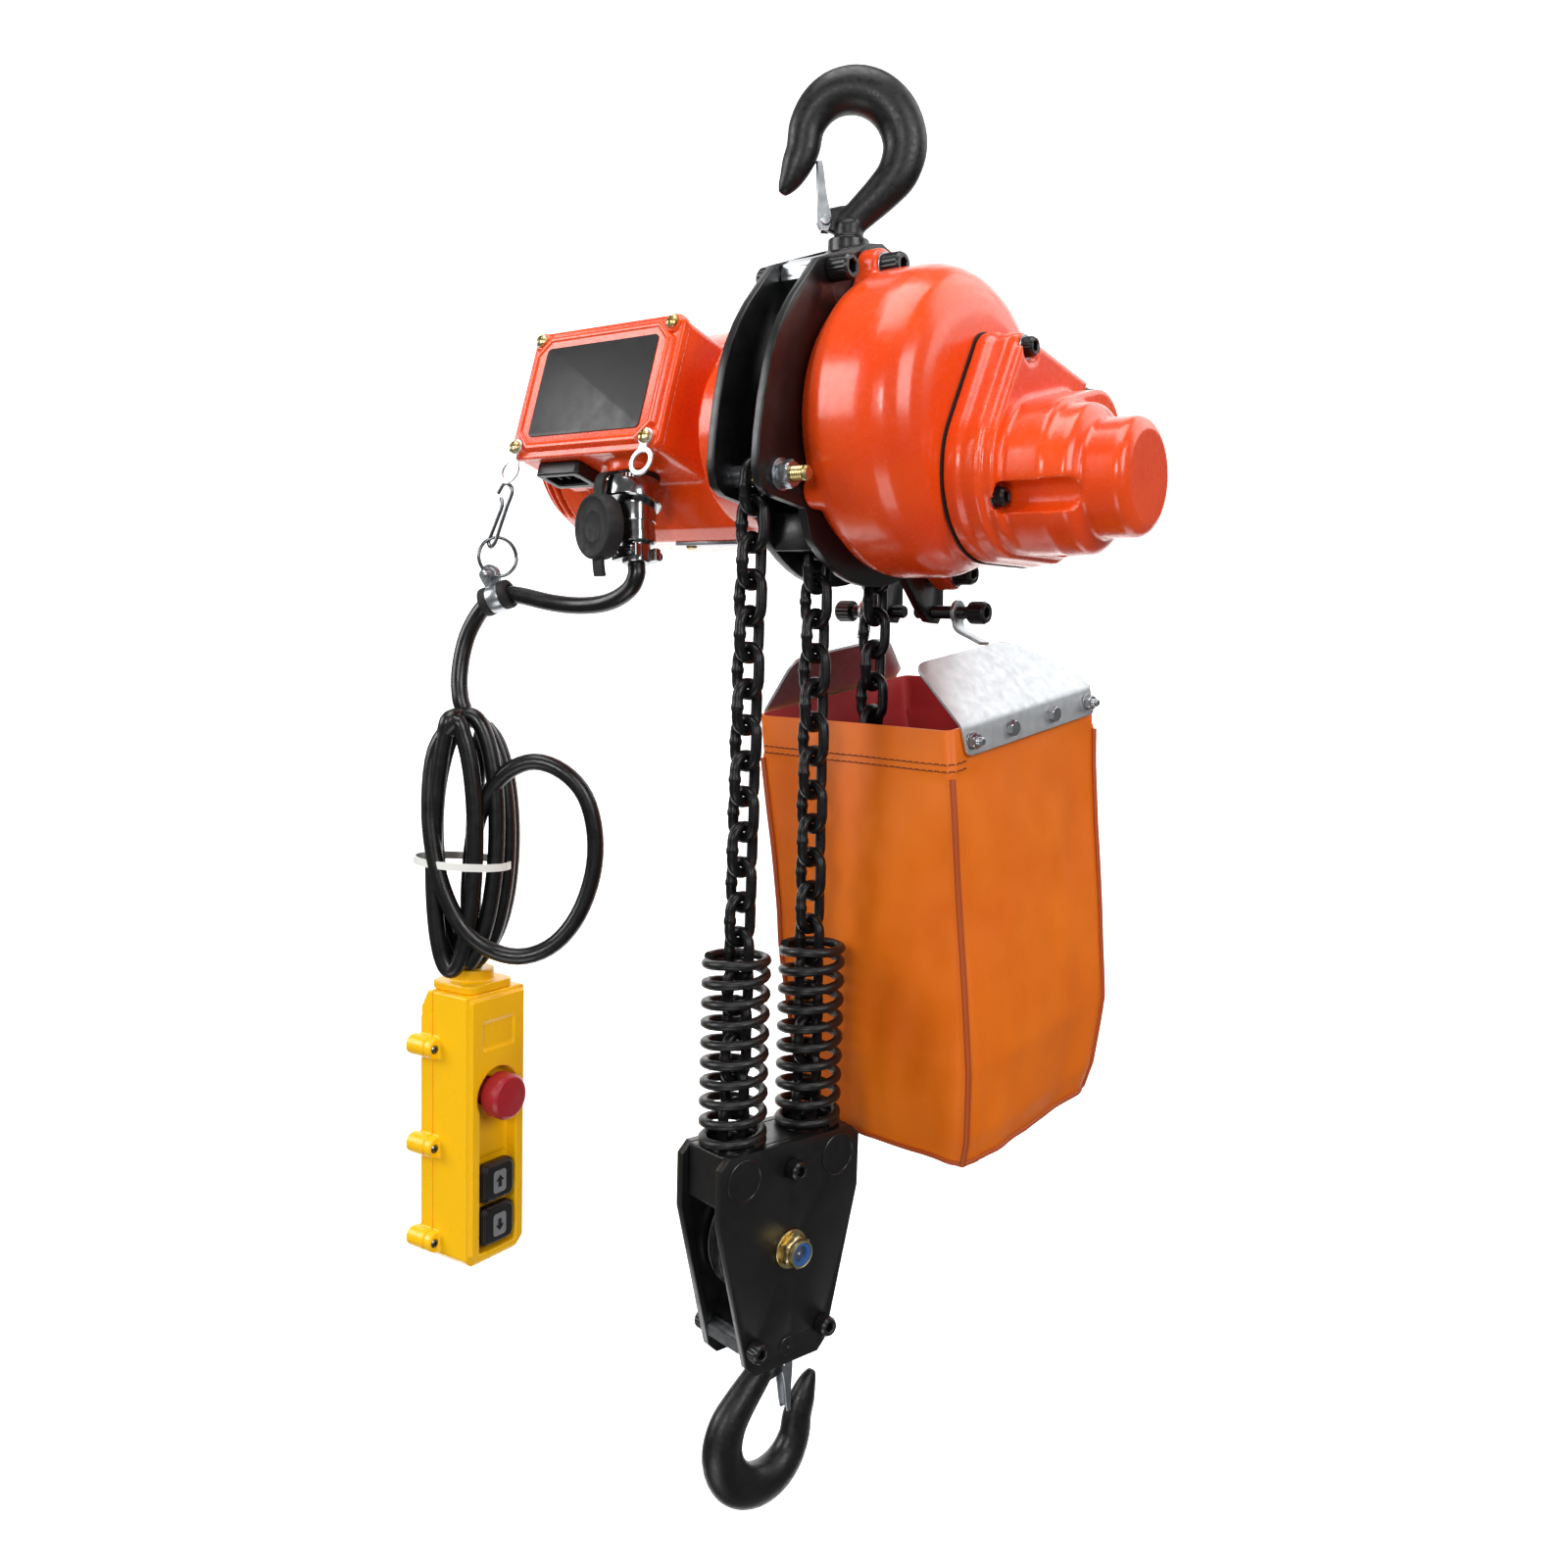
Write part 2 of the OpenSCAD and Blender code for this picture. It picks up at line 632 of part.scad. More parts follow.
// Vented bell over the fan.
module motor_end_cap() {
    color(orange) difference() {
        union() {
            turned([[0, cap_joint], [motor_r, cap_joint], [motor_r - 1, cap_joint - 30], [motor_r - 4, motor_end + 15],
                [motor_r - 10, motor_end + 5], [motor_r - 18, motor_end], [0, motor_end]]);
        }
        turned([[0, cap_joint + 1], [motor_r - wall, cap_joint + 1], [motor_r - wall - 1, cap_joint - 30],
            [motor_r - wall - 5, motor_end + 18], [motor_r - 16, motor_end + wall + 4], [18, motor_end + wall],
            [18, motor_end + 14], [0, motor_end + 14]]);
        rod(motor_end + 6, motor_end + 20, axis_back, axis_z, rotor_r + run);
        for (a = [20:90:290], r = [28, 36, 44]) translate([motor_end - 1, axis_back, axis_z]) rotate([a, 0, 0])
            rotate([0, 90, 0]) rotate_extrude(angle = 50) translate([r, 0]) square([3.5, 16]);
    }
}

// Brush cover under the barrel, with its screw.
module motor_window() {
    color(steel) difference() {
        translate([-92, -35, -233]) cube([52, 13, 2]);
        translate([-85, -28.5, -234]) cylinder(h = 4, r = 1.5);
    }
    color(gold) translate([-85, -28.5, -234.5]) cylinder(h = 1.5, r = 3);
}

// ---------- gear case ----------

// Outline of the gear cover at its joint, in (y, z).
module cover_outline(shrink) {
    hull() {
        translate([6, -138]) circle(r = 14 - shrink, $fn = 32);
        translate([79, -150]) circle(r = 14 - shrink, $fn = 32);
        translate([shaft_y - 5, shaft_z + 5]) circle(r = 47 - shrink, $fn = 64);
        translate([58, -214]) circle(r = 28 - shrink, $fn = 32);
    }
}

// Screws that hold the cover: [y, z].
cover_points = [[7, -133], [80, -148], [-17, -211]];

module gear_housing() {
    back = plate_out + wall;
    inner = gear_r - wall;
    color(orange) difference() {
        union() {
            turned(concat([[0, plate_out], [gear_r - 11, plate_out], [gear_r - 6, plate_out + 6], [gear_r - 2, plate_out + 11],
                [gear_r, plate_out + 18]], [for (a = [0:15:90]) [gear_r, gasket_x] + 26 * [cos(a) - 1, sin(a) - 1]],
                [[0, gasket_x]]));
            slab(gasket_x - 30, gasket_x) cover_outline(0);
            for (p = housing_screws) rod(plate_out, plate_out + 13, p[0], p[1], 10);
            slab(plate_out, plate_out + 13) polygon([[40, -235], [60, -225], [88, -238], [74, -252]]);
            slab(plate_out, plate_out + 13) polygon([[-22, -100], [12, -100], [0, -79], [-14, -79]]);
        }
        turned([[0, back], [inner - 10, back], [inner, back + 14], [inner, gasket_x - 32], [38, gasket_x - 24],
            [0, gasket_x - 24]]);
        difference() {
            slab(gasket_x - 26, gasket_x + 1) cover_outline(8);
            for (p = cover_points) rod(gasket_x - 27, gasket_x + 2, p[0], p[1], 7);
        }
        rod(plate_out - 1, back + 1, axis_back, axis_z, bearing_r);
        rod(plate_out - 1, plate_out + 14, spacer_at[0], spacer_at[1], head_r + 1);
        for (p = housing_screws) {
            rod(plate_out - 1, plate_out + 14, p[0], p[1], screw_r);
            rod(plate_out + 13, plate_out + 30, p[0], p[1], 8);
        }
        for (p = cover_points) rod(gasket_x - 12, gasket_x + 1, p[0], p[1], 2.5);
    }
    color(orange) difference() {
        rod(back, 42, shaft_y, shaft_z, 11);
        rod(back + 1, 43, shaft_y, shaft_z, shaft_r + run);
    }
}

module gear_gasket() {
    color(rubber) slab(gasket_x, cover_x) difference() {
        cover_outline(-0.5);
        cover_outline(6);
    }
}

// Stepped gear cover with the clutch cap at its end.
module gear_cover() {
    step_x = cover_x + 26;
    boss_x = step_x + 22;
    cap_root = boss_x + 15;
    color(orange) difference() {
        union() {
            slab(cover_x, cover_x + 8) cover_outline(0);
            slab(cover_x + 7, cover_x + 19) cover_outline(1.5);
            slab(cover_x + 18, step_x) cover_outline(5);
            slab(step_x - 1, boss_x) hull() {
                translate([shaft_y, shaft_z + 2]) circle(r = 40, $fn = 64);
                translate([48, -176]) circle(r = 26, $fn = 32);
            }
            turned([[0, boss_x - 1], [39, boss_x - 1], [38, cap_root - 3], [35, cap_root], [30, cap_root + 2],
                [30, cap_x - 5], [28, cap_x - 2], [24, cap_x], [0, cap_x]], shaft_y, shaft_z);
        }
        slab(cover_x - 1, cover_x + 18) cover_outline(8);
        turned([[0, cover_x + 17], [34, cover_x + 17], [26, cover_x + 20], [26, cap_x - wall], [0, cap_x - wall]],
            shaft_y, shaft_z);
        for (p = cover_points) {
            rod(cover_x - 1, step_x + 30, p[0], p[1], 2.5);
            rod(cover_x + 22, step_x + 40, p[0], p[1], 8);
        }
    }
    color(orange) {
        difference() {
            rod(cover_x + 8, cover_x + 18, axis_back, axis_z, 12);
            rod(cover_x + 7, cover_x + 20, axis_back, axis_z, rotor_r + run);
        }
        for (p = cover_points) difference() {
            rod(cover_x, cover_x + 22, p[0], p[1], 7.5);
            rod(cover_x - 1, cover_x + 23, p[0], p[1], 2.5);
        }
    }
}

module housing_bolts() {
    color(black) for (p = housing_screws) cap_screw(plate_out + 13, p[0], p[1], 13 + plate_t, screw_r, 6.5, 12);
}

module cover_screws() {
    x0 = cover_x + 22;
    color(black) for (p = cover_points) cap_screw(x0, p[0], p[1], 30, 2.5, 5, 6);
    color(zinc) rod(x0 + 6, x0 + 10, cover_points[1][0], cover_points[1][1], 2.5);
}

// ---------- control box ----------

module control_lid() {
    color(orange) box_frame() difference() {
        union() {
            face(2, lid_t) rounded(box_w + 2, box_h + 2, 6);
            face(0, 2) rounded(box_w - 18, box_h - 14, 6);
            for (x = [-1, 1], z = [-1, 1]) face(0, 3) translate([x * lid_screw_x, z * lid_screw_z]) circle(r = 5);
        }
        lid_screw_holes(-1, lid_t + 1);
        face(-1, 0.4) square([94, 60], center = true);
        face(5, lid_t + 1) rounded(box_w - 14, box_h - 14, 4);
    }
}

module nameplate() {
    color(black) box_frame() face(-0.4, 0.4) square([93.6, 59.6], center = true);
}

// Four lid screws; the lower two hold ring tabs.
module lid_screws() {
    color(gold) box_frame() for (x = [-1, 1], z = [-1, 1]) {
        lift = z < 0 ? 1.25 : 0.05;
        translate([x * lid_screw_x, 0, z * lid_screw_z]) rotate([90, 0, 0]) {
            translate([0, 0, lift]) cylinder(h = 2.4, r = 4);
            translate([0, 0, -lid_t - 7.5]) cylinder(h = lid_t + 8 + lift, r = 1.95);
        }
    }
    color(zinc) box_frame() for (x = [-1, 1]) face(-1.2, 0) translate([x * lid_screw_x, -lid_screw_z]) difference() {
        union() {
            circle(r = 5);
            translate([x * 1, -14]) circle(r = 8);
            translate([-3, -9]) square([6, 6]);
        }
        circle(r = 2);
        translate([x * 1, -14]) circle(r = 5.5);
    }
}

// Control board with its relays inside the box.
module control_board() {
    color([0.1, 0.35, 0.2]) box_frame() {
        face(board_y, board_y + 2) square([box_w - 16, box_h - 30], center = true);
        for (x = [-30, 0, 30]) face(lid_t + 1, board_y) translate([x, 4]) square([20, 24], center = true);
    }
}

module power_inlet() {
    color(black) box_frame() translate([inlet_at[0], inlet_at[1], -box_h / 2]) difference() {
        union() {
            translate([0, 0, -8]) linear_extrude(8) rounded(34, 20, 3);
            linear_extrude(5) square([28, 15], center = true);
        }
        translate([0, 0, -9]) linear_extrude(11) square([24, 12], center = true);
    }
    color(steel) box_frame() for (x = [-7, 0, 7]) translate([inlet_at[0] + x, inlet_at[1], -box_h / 2 - 6])
        linear_extrude(8) square([1.6, 4], center = true);
}

module connector_socket() {
    color(zinc) plug_frame() {
        translate([0, 0, -6.5]) cylinder(h = 16, r = 10);
        translate([0, 0, -8]) cylinder(h = 2, r = 13);
    }
    color(black) plug_frame() difference() {
        translate([0, 0, -6]) cylinder(h = 2, r = 14);
        translate([0, 0, -7]) cylinder(h = 4, r = 10);
    }
}

// Plug: coupling ring and body down to the gland.
module connector_plug() {
    color(zinc) plug_frame() {
        translate([0, 0, -20]) cylinder(h = 12, r = 15, $fn = 64);
        translate([0, 0, -42]) cylinder(h = 22, r = 10);
        translate([0, 0, -26]) cylinder(h = 7, r = 12);
    }
}

// Cable clamp at the plug's lower end.
module cable_gland() {
    color(zinc) plug_frame() {
        translate([0, 0, -gland_end]) cylinder(h = gland_end - 42, r = 8);
        for (s = [-1, 1]) translate([-9, s * 8 - 2.5, -52]) cube([18, 5, 7]);
        for (s = [-1, 1]) translate([s * 6, 0, -48.5]) rotate([90, 0, 0]) cylinder(h = 25, r = 2, center = true);
    }
}

// Rubber dust cap, hung by its strap from a collar on the plug.
module dust_cap() {
    cap_y = -92;
    color(rubber) {
        difference() {
            union() {
                translate([-92, cap_y, -227]) rotate([90, 0, -12]) cylinder(h = 10, r = 18);
                plug_frame() translate([-12, -20, -29]) cube([9, 16, 3]);
            }
            translate([-92.5, cap_y - 2.2, -227]) rotate([90, 0, -12]) cylinder(h = 10, r = 14);
            plug_frame() translate([0, 0, -30]) cylinder(h = 5, r = 10);
        }
        plug_frame() difference() {
            translate([0, 0, -29]) cylinder(h = 3, r = 13.5);
            translate([0, 0, -30]) cylinder(h = 5, r = 10);
        }
    }
}

// Snap hook and split ring that carry the cable from the lower left ring tab.
module cable_hanger() {
    color(zinc) {
        translate([-171, -100, -219]) rotate([0, 14, 25]) for (s = [-1, 1]) {
            translate([s * 4, 0, -15]) cylinder(h = 30, r = 1.1, $fn = 16);
            translate([0, 0, s * 15]) rotate([90, 0, 0]) rotate([0, 0, s > 0 ? 0 : 180])
                rotate_extrude(angle = 180) translate([4, 0]) circle(r = 1.1, $fn = 16);
        }
        hanger_ring(0.9);
    }
}

module hanger_ring(r) {
    translate([-174, -98, -242]) rotate([0, 0, -25]) rotate([0, 90, 0])
        rotate_extrude() translate([10, 0]) circle(r = r, $fn = 16);
}

// Band clip round the cable between two rubber sleeves, with its tab.
module cable_clamp() {
    bore = cable_d / 2 + 2;
    translate([-174, -98, -266.2]) rotate([0, -20, 20]) {
        color(rubber) for (x = [-9, 4.1]) difference() {
            rod(x, x + 4.9, 0, 0, 8.5);
            rod(x - 1, x + 8, 0, 0, bore);
        }
        color(steel) difference() {
            union() {
                rod(-4, 4, 0, 0, 8);
                translate([-4, -1, 6]) cube([8, 2, 5]);
                translate([-6, -1, 9]) cube([12, 2, 10]);
            }
            rod(-5, 5, 0, 0, bore);
            translate([0, 0, 14]) rotate([90, 0, 0]) cylinder(h = 4, r = 3.5, center = true);
            rotate([0, 0, -20]) rotate([0, 20, 0]) translate([174, 98, 266.2]) hanger_ring(2);
        }
    }
}

module cable() {
    color(rubber) {
        tube(cable_route, cable_d, 10);
        tube(loop_route, cable_d, 10);
        tube([[-190, -102, -485.5], [-190, -102, -498]], cable_d, 10);
    }
}

module cable_hank() {
    color(rubber) translate(hank_at) rotate([0, 0, hank_turn]) face(-hank_t / 2, hank_t / 2) difference() {
        union() {
            square([hank_w, hank_h - hank_w], center = true);
            for (s = [-1, 1]) translate([0, s * (hank_h - hank_w) / 2]) circle(r = hank_w / 2);
        }
        translate([0, 34]) circle(r = 7);
        translate([0, -34]) circle(r = 7);
    }
}

// Cable tie round the waist of the hank.
module hank_tie() {
    color([0.95, 0.95, 0.95]) translate(hank_at) rotate([0, 0, hank_turn]) translate([0, 0, -3]) linear_extrude(4)
        difference() {
            square([hank_w + 3, hank_t + 3], center = true);
            square([hank_w + 0.2, hank_t + 0.2], center = true);
        }
}

// ---------- pendant ----------

seam_x = -9;
channel_x = pendant_x / 2 - 9;
stop_z = -63;
buttons_z = [-117, -144];
ear_z = [-34, -95, -154];
ear_y = pendant_y / 2 + 3.4;

module pendant_frame() {
    translate(pendant_at) rotate([0, 0, pendant_turn]) children();
}

module ears(x0, x1) {
    for (z = ear_z, s = [-1, 1]) rod(x0, x1, s * (pendant_y / 2 + 1.5), z, 6.5);
}

module ear_holes() {
    for (z = ear_z, s = [-1, 1]) rod(-20, 0, s * ear_y, z, 1.8);
}

// Case outline in (y, z) with its sloped shoulders and foot.
module case_outline(shrink = 0) {
    w = pendant_y / 2 - shrink;
    polygon([[-w, -shrink], [w, -shrink], [w, 5 + shrink - pendant_h], [w - 5, shrink - pendant_h],
        [5 - w, shrink - pendant_h], [-w, 5 + shrink - pendant_h]]);
}

module pendant_front() {
    color(yellow) pendant_frame() difference() {
        union() {
            slab(seam_x, pendant_x / 2 - 3) case_outline();
            slab(pendant_x / 2 - 4, pendant_x / 2) case_outline(2.5);
            ears(seam_x, -3);
        }
        slab(channel_x, pendant_x / 2 + 1) {
            translate([0, stop_z]) circle(r = 17);
            translate([-15, 7 - pendant_h]) square([30, pendant_h - 7 + stop_z]);
        }
        rod(seam_x + 4, channel_x + 1, 0, stop_z, 8 + run);
        for (z = buttons_z) rod(seam_x + 6, channel_x + 1, 0, z, 5 + run);
        slab(pendant_x / 2 - 0.8, pendant_x / 2 + 1) translate([-13, -34]) square([26, 18]);
        ear_holes();
    }
}

module pendant_back() {
    color(yellow) pendant_frame() difference() {
        union() {
            slab(-pendant_x / 2 + 4, seam_x) case_outline();
            slab(-pendant_x / 2, -pendant_x / 2 + 5) case_outline(3);
            ears(-pendant_x / 2 - 1, seam_x);
        }
        ear_holes();
    }
}

// Cable neck on top of the case.
module pendant_collar() {
    color(yellow) pendant_frame() difference() {
        union() {
            linear_extrude(5) rounded(36, 38, 8);
            translate([0, 0, 4]) cylinder(h = collar_h - 4, r = 13);
            translate([-17, -4, 3]) cube([6, 8, 8]);
        }
        translate([0, 0, 2]) cylinder(h = collar_h, r = cable_d / 2 + gap);
    }
}

module pendant_screws() {
    color(zinc) pendant_frame() {
        for (z = ear_z, s = [-1, 1]) {
            rod(-20, -2.5, s * ear_y, z, 1.8);
            rod(-3, -1.2, s * ear_y, z, 3);
        }
        rod(-19, -17, 0, 8, 2.6);
    }
}

module stop_button() {
    rest = channel_x + stop_travel + gap;
    color([0.66, 0.2, 0.23]) pendant_frame() {
        rod(seam_x + 4 + stop_travel + gap, rest + 1, 0, stop_z, 8);
        translate([0, 0, stop_z]) rotate([0, 90, 0]) rotate_extrude() polygon([[0, rest], [11, rest], [14, rest + 3],
            [14, rest + 12], [12, rest + 14.5], [0, rest + 15.5]]);
    }
}

module press_button(z) {
    rest = channel_x + button_travel + gap;
    color(black) pendant_frame() {
        rod(seam_x + 6 + button_travel + gap, rest + 1, 0, z, 5);
        slab(rest, rest + 5) translate([0, z]) rounded(26, 24, 4);
        slab(rest + 5, rest + 7) translate([0, z]) rounded(23, 21, 4);
    }
}

module up_button() { press_button(buttons_z[0]); }
module down_button() { press_button(buttons_z[1]); }

// ---------- chain ----------

// The foot of each fall follows the load block's twist.
foot_x = fall * sin(block_turn);
foot_y = fall * cos(block_turn);

module dead_chain() {
    color(black) fall_of_links([0, -anchor_front, dead_top], [foot_x, block_y - foot_y, fall_end],
        dead_links, block_turn, 0);
}

module live_chain() {
    color(black) fall_of_links([0, live_y - 1.6, live_top + 0.15], [-foot_x, block_y + foot_y, fall_end],
        live_links, block_turn, 0);
}

module wheel_chain() {
    color(black) translate([0, axis_back, axis_z])
        wrap_of_links(wheel_mid, [for (k = [0:4]) -(90 - wheel_phase) + 18 + 36 * k], 1);
}

module slack_chain() {
    color(black) translate([0, slack_y, slack_top]) for (i = [0:slack_links - 1])
        translate([0, 0, -(i + 0.5) * chain_pitch]) rotate([0, 0, 90 * ((i + 1) % 2)]) link();
}

// ---------- chain bag ----------

bolt_eye = 33;

module bag_bolts() {
    color(black) for (s = [0, 1]) mirror([s, 0, 0]) cap_screw(42, lug_back, lug_z, 38, pin_r, 6.5, 11);
}

module bag_frame() {
    translate([bag_x, bag_y, 0]) rotate([0, 0, bag_turn]) children();
}

// Open bag: outer shape, less the same shape drawn in by its wall. It bellies out above its foot.
module bag_form(inset, rise) {
    hull() {
        translate([0, 0, bag_rim + rise]) rotate([rim_tilt, 0, 0]) linear_extrude(0.5)
            rounded(bag_w - 2 * inset, bag_d - 2 * inset, 8);
        translate([27, -2, 65 - bag_drop]) rotate([rim_tilt, 0, 0]) linear_extrude(1)
            rounded(bag_w - 8 - 2 * inset, bag_d - 6 - 2 * inset, 14);
        translate([30, -2, 12 + inset - bag_drop]) rotate([rim_tilt, 0, 0]) linear_extrude(1)
            rounded(bag_w - 24 - 2 * inset, bag_d - 14 - 2 * inset, 14);
    }
}

module chain_bag() {
    color(bag_cloth) bag_frame() difference() {
        bag_form(0, 0);
        bag_form(bag_wall, 1);
    }
}

// How far the foot of each side's flange follows the bag's slope.
function flare(s) = s > 0 ? 2.6 : -2.2;

// Folded sheet on each side of the bag: flange, leaning plate, and an eye on the bolt.
module bag_brackets() {
    lean = 30;
    rise = 33;
    sheet = 2;
    in_x = bag_w / 2 + 0.4;
    color(zinc) for (s = [-1, 1]) {
        bag_frame() translate([0, 0, bag_rim]) rotate([rim_tilt, 0, 0]) mirror([s > 0 ? 0 : 1, 0, 0]) intersection() {
            rotate([90, 0, 0]) linear_extrude(bag_d, center = true) polygon([[in_x + flare(s), -16], [in_x + sheet + flare(s), -16],
                [in_x + sheet, 1], [in_x + sheet - lean, rise + 1], [in_x - lean, rise], [in_x, 0]]);
            slab(-bag_w, bag_w) polygon([[8 - bag_d / 2, -17], [bag_d / 2 - 8, -17], [bag_d / 2 - 8, 8],
                [26, rise + 2], [-56, rise + 2], [8 - bag_d / 2, rise - 4]]);
        }
        bag_frame() translate([0, 0, bag_rim]) rotate([rim_tilt, 0, 0]) for (y = [-56, -20, 20, 56])
            mirror([s > 0 ? 0 : 1, 0, 0]) hex_bar(in_x + sheet + flare(s) / 2 - 0.5, in_x + sheet + flare(s) / 2 + 4, y, -8, 8);
    }
    color(zinc) for (s = [-1, 1]) mirror([s > 0 ? 0 : 1, 0, 0]) difference() {
        union() {
            rod(bolt_eye - 2, bolt_eye + 2, lug_back, lug_z, 7.5);
            translate([0, lug_back, 0]) rotate([90, 0, 0]) linear_extrude(12, center = true)
                polygon([[bolt_eye - 2, lug_z - 4], [bolt_eye + 2, lug_z - 4], [bolt_eye + 3, lug_z - 10],
                    [bag_w / 2 - lean + (s > 0 ? 14 : -10), lug_z - 16], [bag_w / 2 - lean + (s > 0 ? 14 : -10), lug_z - 19],
                    [bolt_eye, lug_z - 13]]);
        }
        rod(bolt_eye - 3, bolt_eye + 3, lug_back, lug_z, pin_r + run);
    }
}

// ---------- load block ----------

module block_frame() {
    translate([0, block_y, block_top]) rotate([0, 0, block_turn]) children();
}

screws_at = [[0, -15], [-25, -112], [25, -112]];
block_screw_r = 3;
axle_r = 6;

module block_outline() {
    w = block_top_w / 2;
    f = block_foot_w / 2;
    polygon([[-w, -6], [6 - w, 0], [w - 6, 0], [w, -6], [w, -block_kink], [f, 6 - block_h], [f - 6, -block_h],
        [6 - f, -block_h], [-f, 6 - block_h], [-w, -block_kink]]);
}

module block_plates() {
    color(black) block_frame() for (x0 = [-block_w / 2, block_in]) slab(x0, x0 + block_plate_t) difference() {
        block_outline();
        for (p = screws_at) translate(p) circle(r = block_screw_r);
        translate([0, -axle_drop]) circle(r = axle_r);
        translate([0, -trunnion_drop]) circle(r = 5);
    }
}

// Casting between the plates: spring seat, with a way through for each fall.
module block_guide() {
    color(black) block_frame() difference() {
        slab(-block_in, block_in) polygon([[4 - block_top_w / 2, 0], [block_top_w / 2 - 4, 0],
            [block_top_w / 2 - 4, -30], [4 - block_top_w / 2, -30]]);
        rod(-block_in - 1, block_in + 1, 0, -axle_drop, 37);
        for (s = [-1, 1]) translate([0, s * fall, -60]) cylinder(h = 80, r = chain_width / 2 + 1);
        rod(-block_in - 1, block_in + 1, screws_at[0][0], screws_at[0][1], block_screw_r);
    }
}

module spring() {
    coil_r = (spring_d - spring_wire) / 2;
    steps = 14;
    rise = spring_h - spring_wire - 0.4;
    path = [for (i = [0:spring_turns * steps]) let (t = i / steps / spring_turns)
        [coil_r * cos(i * 360 / steps), coil_r * sin(i * 360 / steps), spring_wire / 2 + rise * t]];
    sweep(path, [for (p = path) spring_wire / 2], [for (p = path) spring_wire / 2], [0, 0, 1], 8);
}

module buffer_springs() {
    color(black) block_frame() for (s = [-1, 1]) translate([0, s * fall, 0]) spring();
}

// Screws through both plates, and hex spacers between them.
module block_fasteners() {
    color(black) block_frame() for (p = screws_at, m = [0, 1]) mirror([m, 0, 0])
        cap_screw(block_w / 2, p[0], p[1], p[1] > -20 ? 10 : block_plate_t, block_screw_r, 5.5, 8);
    color(zinc) block_frame() for (i = [1, 2]) hex_bar(-block_in, block_in, screws_at[i][0], screws_at[i][1], 10);
}

module sheave_axle() {
    color(gold) block_frame() {
        rod(-block_w / 2 - 7, block_w / 2 + 7, 0, -axle_drop, axle_r);
        hex_bar(-block_w / 2 - 7, -block_w / 2, 0, -axle_drop, 17, axle_r);
        hex_bar(block_w / 2 + 1.5, block_w / 2 + 9, 0, -axle_drop, 17, axle_r);
        difference() {
            rod(block_w / 2, block_w / 2 + 1.5, 0, -axle_drop, 11);
            rod(block_w / 2 - 1, block_w / 2 + 3, 0, -axle_drop, axle_r);
        }
    }
}

// Grooved idle wheel.
module idle_sheave() {
    seat = sheave_mid - wire_r - 0.4;
    groove = sheave_mid - chain_width / 2 - 0.6;
    half = chain_width / 2 + 0.7;
    color(steel) block_frame() turned([[axle_r + run, -half - 2.5], [11, -half - 2.5], [33, -half - 1.5], [33, -half], [seat, -half],
        [seat, -3.8], [groove, -3.8], [groove, 3.8], [seat, 3.8], [seat, half], [33, half], [33, half + 1.5],
        [11, half + 2.5], [axle_r + run, half + 2.5]], 0, -axle_drop);
}

module sheave_chain() {
    color(black) block_frame() translate([0, 0, -axle_drop])
        wrap_of_links(sheave_mid, [for (k = [-2:2]) 180 + 40 * k], 0);
}

// Cross pin with its bored boss that carries the load hook.
module trunnion() {
    color(black) block_frame() difference() {
        union() {
            rod(-block_in, block_in, 0, -trunnion_drop, 11);
            rod(-block_w / 2, block_w / 2, 0, -trunnion_drop, 5);
        }
        translate([0, 0, -trunnion_drop - 20]) cylinder(h = 40, r = shank_r + run);
    }
}

// Places children in the load hook's own frame, upside down in the block's plane.
module load_hook_frame() {
    block_frame() translate([0, 0, -load_bowl]) rotate([180, 0, 0]) rotate([0, 0, 90]) children();
}

module load_hook() {
    color(black) load_hook_frame() {
        union() {
            hook_body();
            hook_lug();
            hook_shank(30.4);
        }
        hook_nut(collar_z - 23.6, 11, 7, 1);
    }
}

module load_latch() { color(zinc) load_hook_frame() latch(); }

// ---------- all nodes ----------

top_hook();
top_latch();
crosshead();
frame_plate_left();
frame_plate_right();
frame_bolts();
anchor_bolt();
chain_guide();
lift_wheel();
wheel_bearings();
countershaft();
rotor();
stator();
motor_housing();
motor_end_cap();
motor_window();
gear_housing();
gear_gasket();
gear_cover();
housing_bolts();
cover_screws();
control_lid();
lid_screws();
nameplate();
control_board();
power_inlet();
connector_socket();
connector_plug();
cable_gland();
dust_cap();
cable_hanger();
cable_clamp();
cable();
cable_hank();
hank_tie();
pendant_front();
pendant_back();
pendant_collar();
pendant_screws();
stop_button();
up_button();
down_button();
dead_chain();
live_chain();
wheel_chain();
slack_chain();
bag_bolts();
chain_bag();
bag_brackets();
block_plates();
block_guide();
buffer_springs();
block_fasteners();
sheave_axle();
idle_sheave();
sheave_chain();
trunnion();
load_hook();
load_latch();
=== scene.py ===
# %% [markdown]
# # An electric chain hoist
# The hoist hangs from its top hook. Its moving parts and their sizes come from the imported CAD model, which is
# loaded first and never changed. Every piece made here is in metres in that model's own frame, +Z up,
# with the origin in the bowl of the top hook.

# %% Load the frame
import json
from math import atan2, cos, pi, radians, sin, sqrt

import bmesh
import bpy
from mathutils import Matrix, Vector, noise


